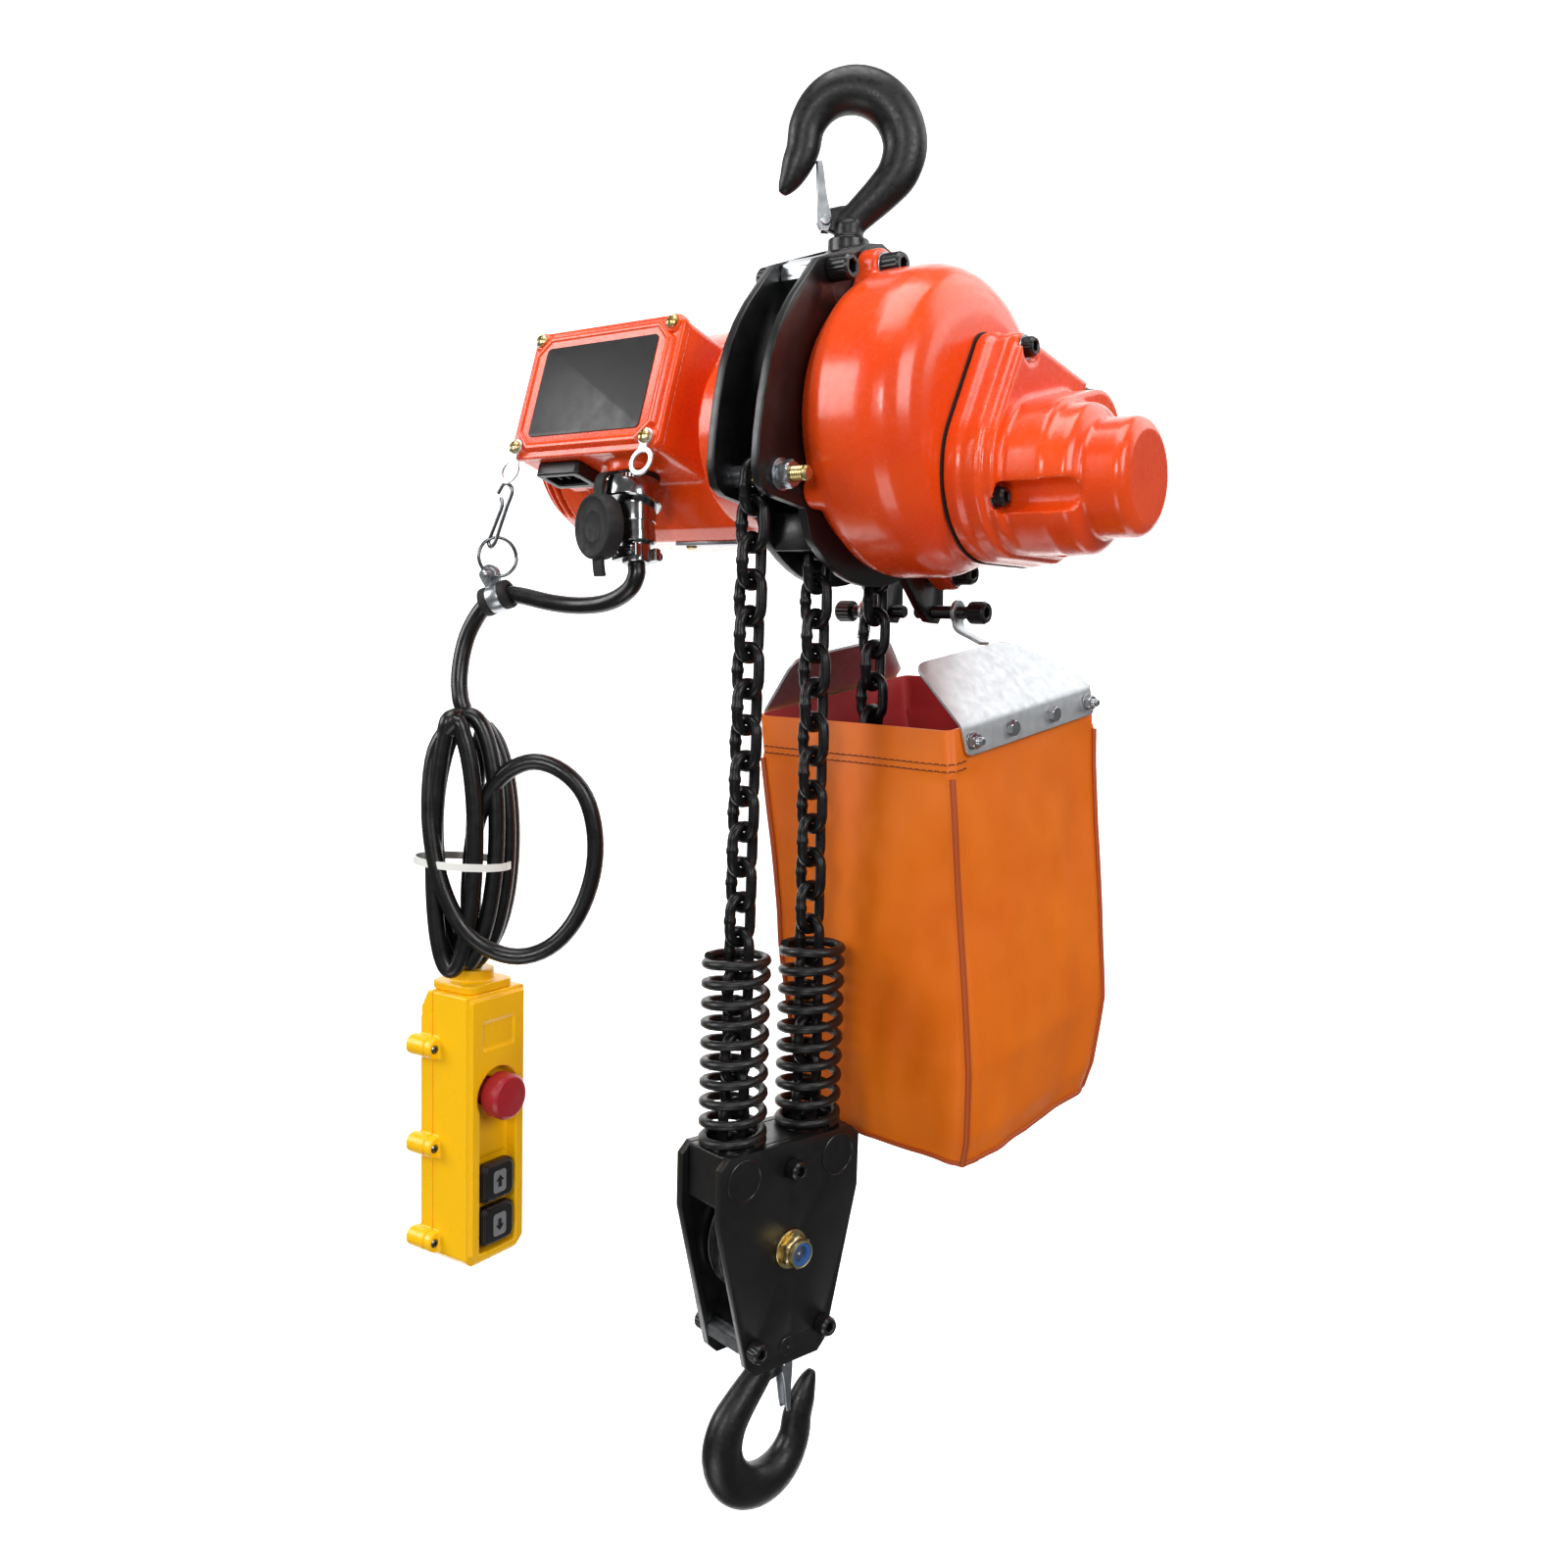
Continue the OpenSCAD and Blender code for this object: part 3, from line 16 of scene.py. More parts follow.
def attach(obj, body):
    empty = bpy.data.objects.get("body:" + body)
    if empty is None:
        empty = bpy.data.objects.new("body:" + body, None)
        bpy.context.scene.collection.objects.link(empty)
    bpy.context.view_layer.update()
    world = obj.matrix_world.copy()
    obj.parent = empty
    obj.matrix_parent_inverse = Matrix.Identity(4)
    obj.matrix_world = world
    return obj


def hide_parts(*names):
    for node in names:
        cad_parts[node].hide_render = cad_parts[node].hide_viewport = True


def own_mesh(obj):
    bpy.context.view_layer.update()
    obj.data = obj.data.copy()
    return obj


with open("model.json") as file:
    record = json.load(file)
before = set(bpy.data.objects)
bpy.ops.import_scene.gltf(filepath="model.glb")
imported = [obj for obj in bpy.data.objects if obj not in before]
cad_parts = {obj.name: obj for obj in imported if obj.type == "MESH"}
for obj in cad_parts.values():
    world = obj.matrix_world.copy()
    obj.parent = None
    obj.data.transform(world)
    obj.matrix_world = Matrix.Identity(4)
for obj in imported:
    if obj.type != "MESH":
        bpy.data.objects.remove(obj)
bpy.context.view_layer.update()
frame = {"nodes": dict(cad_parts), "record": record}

MM = 0.001
# The axis of motor, gears and lift wheel, which runs along X, in mm.
AXIS_Y, AXIS_Z = 9, -168
NODES = frame["nodes"]
BODY_OF = {node: body for body, nodes in frame["record"]["behaviour"]["bodies"].items() for node in nodes}
SLOT_OF = {entry["node"]: entry["material_slot"] for entry in frame["record"]["subparts"]}


def shift(x=0.0, y=0.0, z=0.0):
    """A move along the frame's axes."""
    return Matrix.Translation((x, y, z))


def spin(angle, axis):
    """A turn in degrees about an axis of the frame."""
    return Matrix.Rotation(radians(angle), 4, axis)


def on_circle(radius, angle):
    """The two coordinates of a point on a circle, from its angle in degrees."""
    return radius * cos(radians(angle)), radius * sin(radians(angle))

# %% [markdown]
# ## Camera, floor and light
# The camera stands a little below the motor and looks slightly down, rolled by a degree and a half.
# The hoist hangs in front of a white paper that comes up from far below it. The room behind the camera is dark,
# so black steel stays black. Large soft lights stand at the left, the right, behind and overhead, and two small
# ones stand in front and low down.

# %% Camera
CAMERA_AT = Vector((0.457, -0.6504, -0.2842))
YAW, PITCH, ROLL = radians(37.07), radians(-6.03), radians(1.57)
FOCAL_LENGTH = 31.98

camera_data = bpy.data.cameras.new("camera")
camera_data.lens = FOCAL_LENGTH
camera_data.sensor_width = 36
camera_data.clip_start = 0.01
camera = bpy.data.objects.new("camera", camera_data)
bpy.context.collection.objects.link(camera)
forward = Vector((-sin(YAW) * cos(PITCH), cos(YAW) * cos(PITCH), sin(PITCH)))
level = Vector((cos(YAW), sin(YAW), 0))
upward = level.cross(forward)
right = level * cos(ROLL) + upward * sin(ROLL)
up = upward * cos(ROLL) - level * sin(ROLL)
camera.matrix_world = Matrix.Translation(CAMERA_AT) @ Matrix((right, up, -forward)).transposed().to_4x4()
bpy.context.scene.camera = camera

# %% [markdown]
# ## Shapes
# A shape is a list of corners and a list of faces. Most parts of a hoist are turned, extruded, swept or cast,
# so a few small functions make them all: one lofts rings into a skin, and the others give it its rings.

# %% Shape helpers
def mesh_object(name, vertices, faces):
    """A new object at the origin, with its place in its mesh."""
    mesh = bpy.data.meshes.new(name)
    mesh.from_pydata([tuple(v) for v in vertices], [], faces)
    mesh.validate()
    mesh.polygons.foreach_set("use_smooth", [True] * len(mesh.polygons))
    made = bpy.data.objects.new(name, mesh)
    bpy.context.collection.objects.link(made)
    return made


def face_out(made):
    """Turns the faces of a closed mesh outward."""
    mesh = bmesh.new()
    mesh.from_mesh(made.data)
    bmesh.ops.recalc_face_normals(mesh, faces=mesh.faces)
    mesh.to_mesh(made.data)
    mesh.free()
    return made


def apply_modifiers(made):
    """Turns an object and its modifiers into one plain mesh."""
    shape = made.evaluated_get(bpy.context.evaluated_depsgraph_get())
    plain = bpy.data.meshes.new_from_object(shape)
    made.modifiers.clear()
    made.data = plain
    return made


def loft(rings, closed=False):
    """A skin over rings that all have the same number of points, with its two ends filled."""
    count, sides = len(rings), len(rings[0])
    faces = []
    for i in range(count if closed else count - 1):
        here, there = i * sides, (i + 1) % count * sides
        faces += [(here + k, here + (k + 1) % sides, there + (k + 1) % sides, there + k) for k in range(sides)]
    if not closed:
        faces += [tuple(range(sides))[::-1], tuple(range((count - 1) * sides, count * sides))]
    return [v for ring in rings for v in ring], faces


def merged(*shapes):
    """Several shapes as one."""
    vertices, faces = [], []
    for v, f in shapes:
        faces += [tuple(i + len(vertices) for i in face) for face in f]
        vertices += list(v)
    return vertices, faces


def moved(shape, matrix):
    return [matrix @ Vector(v) for v in shape[0]], shape[1]


def lathe(profile, sides=48, closed=False):
    """Turns (radius, height) points about Z. A radius may be a rule of the angle, as a hexagon's is."""
    angles = [2 * pi * k / sides for k in range(sides)]
    rings = []
    for r, h in profile:
        reach = [r(a) if callable(r) else r for a in angles]
        rings.append([Vector((d * cos(a), d * sin(a), h)) for d, a in zip(reach, angles)])
    return loft(rings, closed)


def even_ended(half):
    """A lathe profile that is the same above and below zero, from its upper half."""
    return [(r, -h) for r, h in half[::-1]] + half


def prism(outline, low, high):
    """A flat outline drawn up along Z."""
    return loft([[Vector((x, y, z)) for x, y in outline] for z in (low, high)])


def rounded_box(w, h, r):
    """Corners of a rectangle w by h about the origin, with rounded corners."""
    return [(sx * (w / 2 - r) + r * cos(a), sy * (h / 2 - r) + r * sin(a))
            for sx, sy, start in ((1, 1, 0), (-1, 1, 90), (-1, -1, 180), (1, -1, 270))
            for a in [radians(start + turn) for turn in range(0, 91, 15)]]


def smooth_path(points, steps=6):
    """A rounded line through the points."""
    p = [Vector(q) for q in points]
    p = [p[0] * 2 - p[1]] + p + [p[-1] * 2 - p[-2]]
    line = []
    for i in range(1, len(p) - 2):
        for k in range(steps):
            t = k / steps
            a, b, c, d = p[i - 1:i + 3]
            line.append(0.5 * ((2 * b) + (c - a) * t + (2 * a - 5 * b + 4 * c - d) * t ** 2
                               + (3 * b - a - 3 * c + d) * t ** 3))
    return line + [p[-2]]


def runs_of(line):
    """The way a line runs at each of its points."""
    return [(b - a).normalized() for a, b in zip(line[:1] + line[:-1], line[1:] + line[-1:])]


def strap(points, width, thick, side_way):
    """A flat strap or strip along a line, its width along one way."""
    line, side_way = smooth_path(points, 5), Vector(side_way)
    rings = []
    for p, run in zip(line, runs_of(line)):
        across, out = side_way * width / 2, run.cross(side_way).normalized() * thick / 2
        rings.append([p + across * a + out * b for a, b in ((-1, -1), (1, -1), (1, 1), (-1, 1))])
    return loft(rings)


def tube(line, radius, sides=16, closed=False):
    """A round bar along a line. The radius is one number, or one for each point."""
    radii = radius if isinstance(radius, list) else [radius] * len(line)
    count, rings = len(line), []
    line = [Vector(p) for p in line]
    across = (line[1] - line[0]).orthogonal()
    for i, point in enumerate(line):
        after = line[(i + 1) % count] if closed or i < count - 1 else point
        run = (after - (line[i - 1] if closed or i > 0 else point)).normalized()
        across = (across - run * across.dot(run)).normalized()
        other = run.cross(across)
        rings.append([point + (across * cos(2 * pi * k / sides) + other * sin(2 * pi * k / sides)) * radii[i]
                      for k in range(sides)])
    return loft(rings, closed)


def rounded(made, width, segments, angle):
    """Rounds the edges that are sharper than an angle."""
    edge = made.modifiers.new("edge", "BEVEL")
    edge.width, edge.segments, edge.limit_method, edge.angle_limit = width * MM, segments, "ANGLE", radians(angle)
    return apply_modifiers(made)


def piece(name, shape, material, nodes=(), body=None, bevel=0.0, angle=35, size=MM):
    """A shown piece: its shape in mm, rounded at its edges, riding where the nodes that it stands for ride."""
    made = face_out(mesh_object(name, [Vector(v) * size for v in shape[0]], shape[1]))
    if bevel:
        rounded(made, bevel, 3, angle)
    return dress(made, material, nodes, body, angle)


def dress(made, material, nodes=(), body=None, angle=35):
    """Finish and body for a piece whose mesh is final."""
    if angle:
        made.data.set_sharp_from_angle(angle=radians(angle))
    if not made.data.materials:
        made.data.materials.append(material)
    if nodes:
        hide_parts(*nodes)
    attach(made, body or BODY_OF[nodes[0]])
    return made


def melted(made, voxel, passes, keep=1.0):
    """Remeshes an object evenly and melts its edges round, then thins it to a share of its faces."""
    remesh = made.modifiers.new("even", "REMESH")
    remesh.mode, remesh.voxel_size = "VOXEL", voxel * MM
    melt = made.modifiers.new("melt", "SMOOTH")
    melt.factor, melt.iterations = 0.5, passes
    if keep < 1:
        made.modifiers.new("thin", "DECIMATE").ratio = keep
        made.modifiers.new("settle", "SMOOTH").iterations = 3
    apply_modifiers(made)
    if "sharp_edge" in made.data.attributes:
        made.data.attributes.remove(made.data.attributes["sharp_edge"])
    made.data.polygons.foreach_set("use_smooth", [True] * len(made.data.polygons))
    return made


def solid_copy(name, node, flat=False):
    """A copy of a node's solid with its corners joined, and its flat faces made whole if asked."""
    made = bpy.data.objects.new(name, NODES[node].data.copy())
    bpy.context.collection.objects.link(made)
    mesh = bmesh.new()
    mesh.from_mesh(made.data)
    bmesh.ops.remove_doubles(mesh, verts=mesh.verts, dist=0.00001)
    if flat:
        bmesh.ops.dissolve_limit(mesh, angle_limit=radians(2), verts=mesh.verts, edges=mesh.edges)
    mesh.to_mesh(made.data)
    mesh.free()
    return made


def cast_copy(name, node, voxel, passes, keep=1.0, cuts=()):
    """A casting or moulding: the solid of a node less its cuts, with its edges melted round as a foundry's are."""
    made = solid_copy(name, node)
    if cuts:
        corners, faces = merged(*cuts)
        cutter = face_out(mesh_object(name + "_cuts", [Vector(v) * MM for v in corners], faces))
        cut = made.modifiers.new("cuts", "BOOLEAN")
        cut.operation, cut.solver, cut.use_self, cut.object = "DIFFERENCE", "EXACT", True, cutter
        apply_modifiers(made)
        bpy.data.objects.remove(cutter)
    melted(made, voxel, passes, keep)
    made.data.materials.clear()
    print(name, len(made.data.polygons), "faces")
    return dress(made, FINISH_OF[node], [node], angle=0)

# %% Studio
FLOOR_Z = -2.4
# How far ahead and how high the paper is: flat, up through a bend of 0.7 m, and on up.
backdrop_profile = [(1.2 + 0.7 * sin(radians(a)), 0.7 - 0.7 * cos(radians(a))) for a in range(0, 91, 10)]
backdrop_profile = [(0.6, 0)] + backdrop_profile + [(1.9, 4.7)]
ahead = Vector((-sin(YAW), cos(YAW), 0))
points = [ahead * d + Vector((0, 0, FLOOR_Z + h)) + level * s for d, h in backdrop_profile for s in (-1.8, 1.8)]
strips = [(2 * i, 2 * i + 1, 2 * i + 3, 2 * i + 2) for i in range(len(backdrop_profile) - 1)]
floor = mesh_object("floor", points, strips)
print("floor", round(-FLOOR_Z * 1000), "mm below the top hook's bowl")


MIDDLE = Vector((0, 0, -0.35))
for name, where, size, watts in (
    ("left_light", (-1.5, -1.5, 0.5), 1.2, 30), ("right_light", (1.9, -0.5, 0.5), 1.0, 20),
    ("back_light", (1.0, 1.45, 1.05), 1.7, 19), ("top_light", (0.1, -0.3, 1.7), 1.5, 32),
    ("front_light", (0.8, -1.9, 0.2), 0.5, 12), ("low_light", (0.3, -1.0, -1.5), 0.8, 5),
):
    data = bpy.data.lights.new(name, "AREA")
    data.size, data.energy = size, watts
    lamp = bpy.data.objects.new(name, data)
    lamp.location = where
    lamp.rotation_euler = (MIDDLE - Vector(where)).to_track_quat("-Z", "Y").to_euler()
    bpy.context.collection.objects.link(lamp)
world = bpy.data.worlds.new("studio")
bpy.context.scene.world = world
world.use_nodes = True
sky = world.node_tree.nodes["Background"]
sky.inputs["Color"].default_value, sky.inputs["Strength"].default_value = (0.98, 0.99, 1, 1), 0.16
bpy.context.scene.view_settings.view_transform = "Standard"

# %% [markdown]
# ## Finishes
# Each finish starts from how the real surface was made. A shader gets its even values on its own sockets, and
# nodes only where a value changes over the surface: grain, speckle, brushing, wear or weave.
# Patterns read Object coordinates, so their scales are one over a real size in metres.

# %% Material helpers
def linear(hex_colour):
    """An sRGB hex colour as linear RGBA."""
    parts = [int(hex_colour[i:i + 2], 16) / 255 for i in (1, 3, 5)]
    return [p / 12.92 if p <= 0.04045 else ((p + 0.055) / 1.055) ** 2.4 for p in parts] + [1]


def add(material, kind, settings=None, **inputs):
    """Adds a node. An input is a value, or another node's output to link."""
    tree = material.node_tree
    node = tree.nodes.new(kind)
    for name, value in (settings or {}).items():
        setattr(node, name, value)
    for name, value in inputs.items():
        socket = node.inputs[name.replace("_", " ")] if not name.startswith("at") else node.inputs[int(name[2:])]
        if isinstance(value, bpy.types.NodeSocket):
            tree.links.new(value, socket)
        else:
            socket.default_value = value
    return node


def finish(name, colour, roughness, metallic=0.0, coat=0.0, ior=1.5, sheen=0.0):
    """A new material with its even values on the shader itself."""
    material = bpy.data.materials.new(name)
    material.use_nodes = True
    even = {"Base Color": linear(colour), "Roughness": roughness, "Metallic": metallic, "Coat Weight": coat,
            "Coat Roughness": 0.12, "Sheen Weight": sheen, "Sheen Roughness": 0.4}
    if metallic < 1:
        even["IOR"] = ior
    for socket, value in even.items():
        material.node_tree.nodes["Principled BSDF"].inputs[socket].default_value = value
    material.diffuse_color = linear(colour)
    return material


def feed(material, socket, output):
    material.node_tree.links.new(output, material.node_tree.nodes["Principled BSDF"].inputs[socket])


def speckle(material, size, detail=3, stretch=(1, 1, 1)):
    """Noise whose blobs are about size metres across, as a value from 0 to 1."""
    spot = add(material, "ShaderNodeTexCoord").outputs["Object"]
    if stretch != (1, 1, 1):
        spot = add(material, "ShaderNodeMapping", Vector=spot, Scale=stretch).outputs[0]
    return add(material, "ShaderNodeTexNoise", Vector=spot, Scale=1 / size, Detail=detail).outputs["Fac"]


def between(material, value, low, high):
    """Maps a value's middle stretch to a range from low to high."""
    return add(material, "ShaderNodeMapRange", Value=value, From_Min=0.3, From_Max=0.7, To_Min=low,
               To_Max=high).outputs["Result"]


def two_tone(material, value, *colours):
    """Blends two colours by a value."""
    ramp = add(material, "ShaderNodeValToRGB", Fac=value)
    for element, position, colour in zip(ramp.color_ramp.elements, (0.35, 0.65), colours):
        element.position, element.color = position, linear(colour)
    feed(material, "Base Color", ramp.outputs["Color"])


def relief(material, value, depth, strength):
    """Raises the surface by depth metres where the value is 1."""
    bump = add(material, "ShaderNodeBump", Height=value, Distance=depth, Strength=strength)
    feed(material, "Normal", bump.outputs["Normal"])


def surface(name, colour, roughness, tones=None, grain=None, bumps=None, stretch=(1, 1, 1), **even):
    """A finish whose colour, roughness and relief each follow noise of their own size, all in metres.

    tones are a size, a detail and two colours. grain is a size, a detail and the roughness from and to.
    bumps are a size, a detail, a depth and a strength.
    """
    m = finish(name, colour, roughness, **even)
    if tones:
        two_tone(m, speckle(m, *tones[:2]), *tones[2:])
    if grain:
        feed(m, "Roughness", between(m, speckle(m, *grain[:2], stretch), *grain[2:]))
    if bumps:
        relief(m, speckle(m, *bumps[:2]), *bumps[2:])
    return m

# %% Enamel and steel
# Stoved enamel on a die casting: glossy, with a faint orange peel of about 2 mm and a soft colour change.
ENAMEL = surface("stoved_orange_enamel", "#E6440C", 0.24, (0.06, 3, "#E4400B", "#EE4E11"), (0.004, 3, 0.2, 0.32),
                 (0.0022, 2, 0.00012, 0.5), coat=0.25)
# Cold rolled steel with a thin satin black coat, a little greyer where it has been handled.
COATED = surface("black_coated_steel", "#0D0D0E", 0.34, (0.02, 5, "#0A0A0B", "#121213"), (0.006, 5, 0.28, 0.42),
                 (0.0008, 3, 0.00004, 0.5), coat=0.1)
# Drop forged steel, blackened and oiled: dark, low sheen, a fine scale texture of under a millimetre.
FORGED = surface("black_forged_steel", "#0C0C0D", 0.4, (0.012, 6, "#09090A", "#101011"), (0.003, 6, 0.3, 0.5),
                 (0.0015, 6, 0.00015, 0.6), metallic=0.1)
# Case hardened chain wire, phosphated black and oiled, brighter on the crowns where links rub.
CHAIN = surface("black_chain_steel", "#121214", 0.33, (0.005, 4, "#0E0E0F", "#1D1D20"), (0.002, 4, 0.26, 0.42),
                metallic=0.5)
# Turned and ground steel: fine rings too small to see one by one, drawn at 0.6 mm.
MACHINED = surface("machined_steel", "#9C9DA0", 0.32, None, (0.0006, 3, 0.26, 0.44), stretch=(1, 0.1, 0.1), metallic=1)
# Stamped aluminium foil in the button faces.
FOIL = surface("satin_aluminium", "#C8CACC", 0.38, None, (0.0008, 3, 0.32, 0.46), metallic=1)

# %% Plated metals
def plated(name, dark, bright, roughness):
    """Plate over pressed or turned metal: bright, with cloudy crystals of a few millimetres."""
    return surface(name, bright, 0.3, (0.006, 4, dark, bright), (0.004, 3, roughness, roughness + 0.1),
                   (0.003, 1, 0.00001, 0.3), metallic=1)


ZINC = plated("bright_zinc_plate", "#A4A8AC", "#B8BBBE", 0.28)
SHEET_ZINC = plated("zinc_coated_sheet", "#C3C6C9", "#CED1D3", 0.42)
WIRE_ZINC = plated("zinc_plated_wire", "#66696B", "#7E8183", 0.2)
NICKEL = plated("nickel_plated_brass", "#8E9092", "#A2A3A4", 0.12)
# Yellow passivated zinc drifts from straw gold to a paler tone over each fastener.
GOLD = plated("yellow_passivated_zinc", "#BFA566", "#D6CBA0", 0.28)

# %% Rubber and plastics
def moulded(name, colour, roughness, depth=0.00004):
    """Injection moulded plastic: one colour all through, with a fine spark-eroded grain from the tool."""
    return surface(name, colour, roughness, None, (0.01, 3, roughness - 0.05, roughness + 0.07),
                   (0.0007, 3, depth, 0.3), ior=1.46)


# Moulded black rubber with a dry, dusty bloom.
RUBBER = surface("moulded_rubber", "#101011", 0.6, None, (0.005, 3, 0.6, 0.8), (0.0009, 3, 0.00006, 0.5))
# Extruded PVC sheath: smooth, glossy, slightly wavy along its run.
SHEATH = surface("pvc_cable_sheath", "#0C0C0D", 0.28, None, (0.008, 3, 0.24, 0.38), (0.006, 1, 0.0002, 0.4))
YELLOW = moulded("yellow_abs", "#FBC006", 0.3)
RED = moulded("red_abs", "#A5202B", 0.35)
BLACK = moulded("black_nylon", "#101012", 0.35)
PLATE_FACE = moulded("black_acrylic_plate", "#141414", 0.4, 0.00001)
GREEN = moulded("green_board", "#1C5A35", 0.5)
WHITE = moulded("white_nylon", "#ECEBE6", 0.4)
BLUE = moulded("blue_nylon", "#2F5E9E", 0.4)

# %% Finish of every solid
paper = finish("pale_studio_paper", "#F4F4F4", 0.9)
glow = paper.node_tree.nodes["Principled BSDF"].inputs
glow["Emission Color"].default_value, glow["Emission Strength"].default_value = (1, 1, 1, 1), 1.0
floor.data.materials.append(paper)
FINISH_OF_SLOT = {
    "casing": ENAMEL, "black_steel": COATED, "zinc": ZINC, "yellow_zinc": GOLD, "machined": MACHINED,
    "rubber": RUBBER, "cable": SHEATH, "plate": PLATE_FACE, "board": GREEN, "black_plastic": BLACK,
    "tie": WHITE, "yellow_case": YELLOW, "red_button": RED, "bag": RUBBER,
}
FINISH_OF = {node: FINISH_OF_SLOT[slot] for node, slot in SLOT_OF.items()}
FINISH_OF.update(top_hook=FORGED, load_hook=FORGED)
for node, shown in NODES.items():
    shown.data.materials.clear()
    shown.data.materials.append(FINISH_OF[node])
print(len(bpy.data.materials), "finishes")

# %% [markdown]
# ## Hooks
# A load hook is drop forged from one bar, so its section swells towards the bowl and fades to the tip with no
# edges. A loft through elliptical sections gives the bar, and a fine remesh melts it into its collar and latch lug,
# as a forging die does. Both hooks come from the same die.

# %% Hook
BOWL_R, HOOK_DROP = 18, 66
# Where the bar's middle passes, across and up, and its half width.
BAR = [(0, -62, 8), (1.5, -57, 8.4), (8, -50, 9.2), (17, -41, 10.3), (25.5, -30.5, 11.5)]
BOWL_WIDTHS = {0: 12.2, 22: 12.6, 44: 13, 66: 13.2, 88: 13, 110: 12.3, 132: 11.2, 156: 10, 180: 9.4}
BAR += [((BOWL_R + w - 1) * cos(radians(a)), (BOWL_R + w) * sin(radians(a)) - BOWL_R, w)
        for a, w in BOWL_WIDTHS.items()]
BAR += [(-29.6, -27, 8.6), (-32.5, -34, 6.8), (-35.6, -39.5, 4.6), (-37.6, -42.6, 2.4)]


def hook_bar():
    """The forged bar, as wide across as its half width and a little slimmer front to back."""
    line = smooth_path(BAR, 5)
    rings = []
    for p, run in zip(line, runs_of(line)):
        out = Vector((run.y, 0, -run.x)).normalized()
        rings.append([Vector((p.x, 0, p.y)) + out * p.z * cos(2 * pi * k / 32)
                      + Vector((0, 0.82 * p.z * sin(2 * pi * k / 32), 0)) for k in range(32)])
    return loft(rings)


LUG = [(-3, -63), (-9, -63), (-17, -60), (-17, -54), (-12, -50), (-3, -48), (4, -56)]
UPRIGHT = spin(90, "X")


def hook(name, node, place, shank):
    """A hook melted into one skin, with its threaded shank and nut."""
    collar = lathe([(7.5, -75), (7.5, -69), (11, -69), (11, -66), (8, -65.5), (8, -58)])
    corners, faces = merged(hook_bar(), moved(prism(LUG, -3, 3), UPRIGHT), collar)
    forged = mesh_object(name, [v * MM for v in corners], faces)
    melted(forged, 0.8, 8)
    low = -HOOK_DROP - shank
    thread = lathe([(6.5, low)] + [(7.4 - 0.3 * (k % 2), low + 1 + k) for k in range(int(shank) - 6)], 32)
    forged.data.transform(in_metres(place))
    piece(name + "_thread", moved(thread, place), MACHINED, body=BODY_OF[node])
    return dress(forged, FORGED, [node], angle=0)


BLOCK_TURN = -12
BLOCK_AT = Vector((0, -49.342, -559.823))


def block_place(x=0, y=0, z=0):
    """Frame of the load block, in mm, with its top edge at zero."""
    return shift(*BLOCK_AT) @ spin(BLOCK_TURN, "Z") @ shift(x, y, z)


def in_metres(place):
    made = place.copy()
    made.translation = place.to_translation() * MM
    return made


TOP_PLACE = spin(37, "Z")
LOAD_PLACE = block_place(z=-195) @ spin(180, "X") @ spin(90, "Z")
for node, where, shank in (("top_hook", TOP_PLACE, 40), ("load_hook", LOAD_PLACE, 30)):
    made = hook(node + "_forging", node, where, shank)
    print(made.name, len(made.data.polygons), "faces")

# %% [markdown]
# Each hook has a sprung latch, pressed from zinc plated sheet into a channel that narrows to its tip.
# It turns on a rivet through the hook's lug.

# %% Latches
def latch_shape():
    """A channel of sheet, open towards the hook's throat, with its rivet."""
    spine = [(-16.5, -62, 5), (-18.4, -58, 8.2), (-19, -53, 8.6), (-18.8, -46, 6.6), (-18.7, -38, 5),
             (-18.9, -31, 4.2), (-19.4, -25.6, 3.6)]
    rings = []
    for x, z, deep in [tuple(p) for p in smooth_path(spine, 3)]:
        half = 4.5 - 0.9 * (z + 62) / 37
        outside = [(x + deep, -half), (x + 1, -half), (x, -half + 1), (x, half - 1), (x + 1, half), (x + deep, half)]
        inside = [(px + 1.1 * (px < x + deep and (abs(py) < half - 0.5 or px < x + 0.5)), py * (half - 1.1) / half)
                  for px, py in outside]
        rings.append([Vector((px, py, z)) for px, py in outside + inside[::-1]])
    head = [(1.6, 4.5), (2.9, 4.6), (2.9, 5.2), (2.3, 5.9), (0.1, 6)]
    rivet = lathe(even_ended(head), 24)
    return merged(loft(rings), moved(rivet, shift(-13, 0, -57) @ UPRIGHT))


for name, node, where in (("top_hook_latch", "top_latch", TOP_PLACE), ("load_hook_latch", "load_latch", LOAD_PLACE)):
    piece(name, moved(latch_shape(), where), ZINC, [node], angle=40)

# %% [markdown]
# ## The control cable
# A ten millimetre control cable leaves its gland, swings left to a clip, drops into stored turns held by a
# white tie, and ends in the pendant's collar. The route's points are the ones its solid follows, and each
# tube is a smooth curve through them with a round section.

# %% Cable
CABLE_D = 0.010
CABLE_ROUTE = [
    (-82.7, -77.5, -246.8), (-81.8, -78.3, -252), (-85, -79, -259), (-93, -79.8, -264.5),
    (-103, -81, -268), (-115, -82.5, -269.5), (-128, -84.5, -269.5), (-142, -88, -268),
    (-157, -92.3, -265), (-166, -95.3, -264), (-174, -98.2, -266), (-181.5, -100.9, -271),
    (-187.5, -103.5, -279.5), (-191.5, -106, -289.5), (-193.2, -108.5, -302), (-192.8, -110.5, -315),
    (-190, -111.8, -326), (-187, -112, -334),
]
HANK_AT = Vector((-0.186, -0.112, -0.410))
HANK_TURN = spin(35, "Z")


def length_of(line):
    return sum((b - a).length for a, b in zip(line, line[1:]))


def hank_point(across, depth, height):
    """A point in the hank's own plane: across to the right, depth away from the viewer, height up. In mm."""
    return HANK_AT + HANK_TURN @ Vector((across, depth, height)) * MM

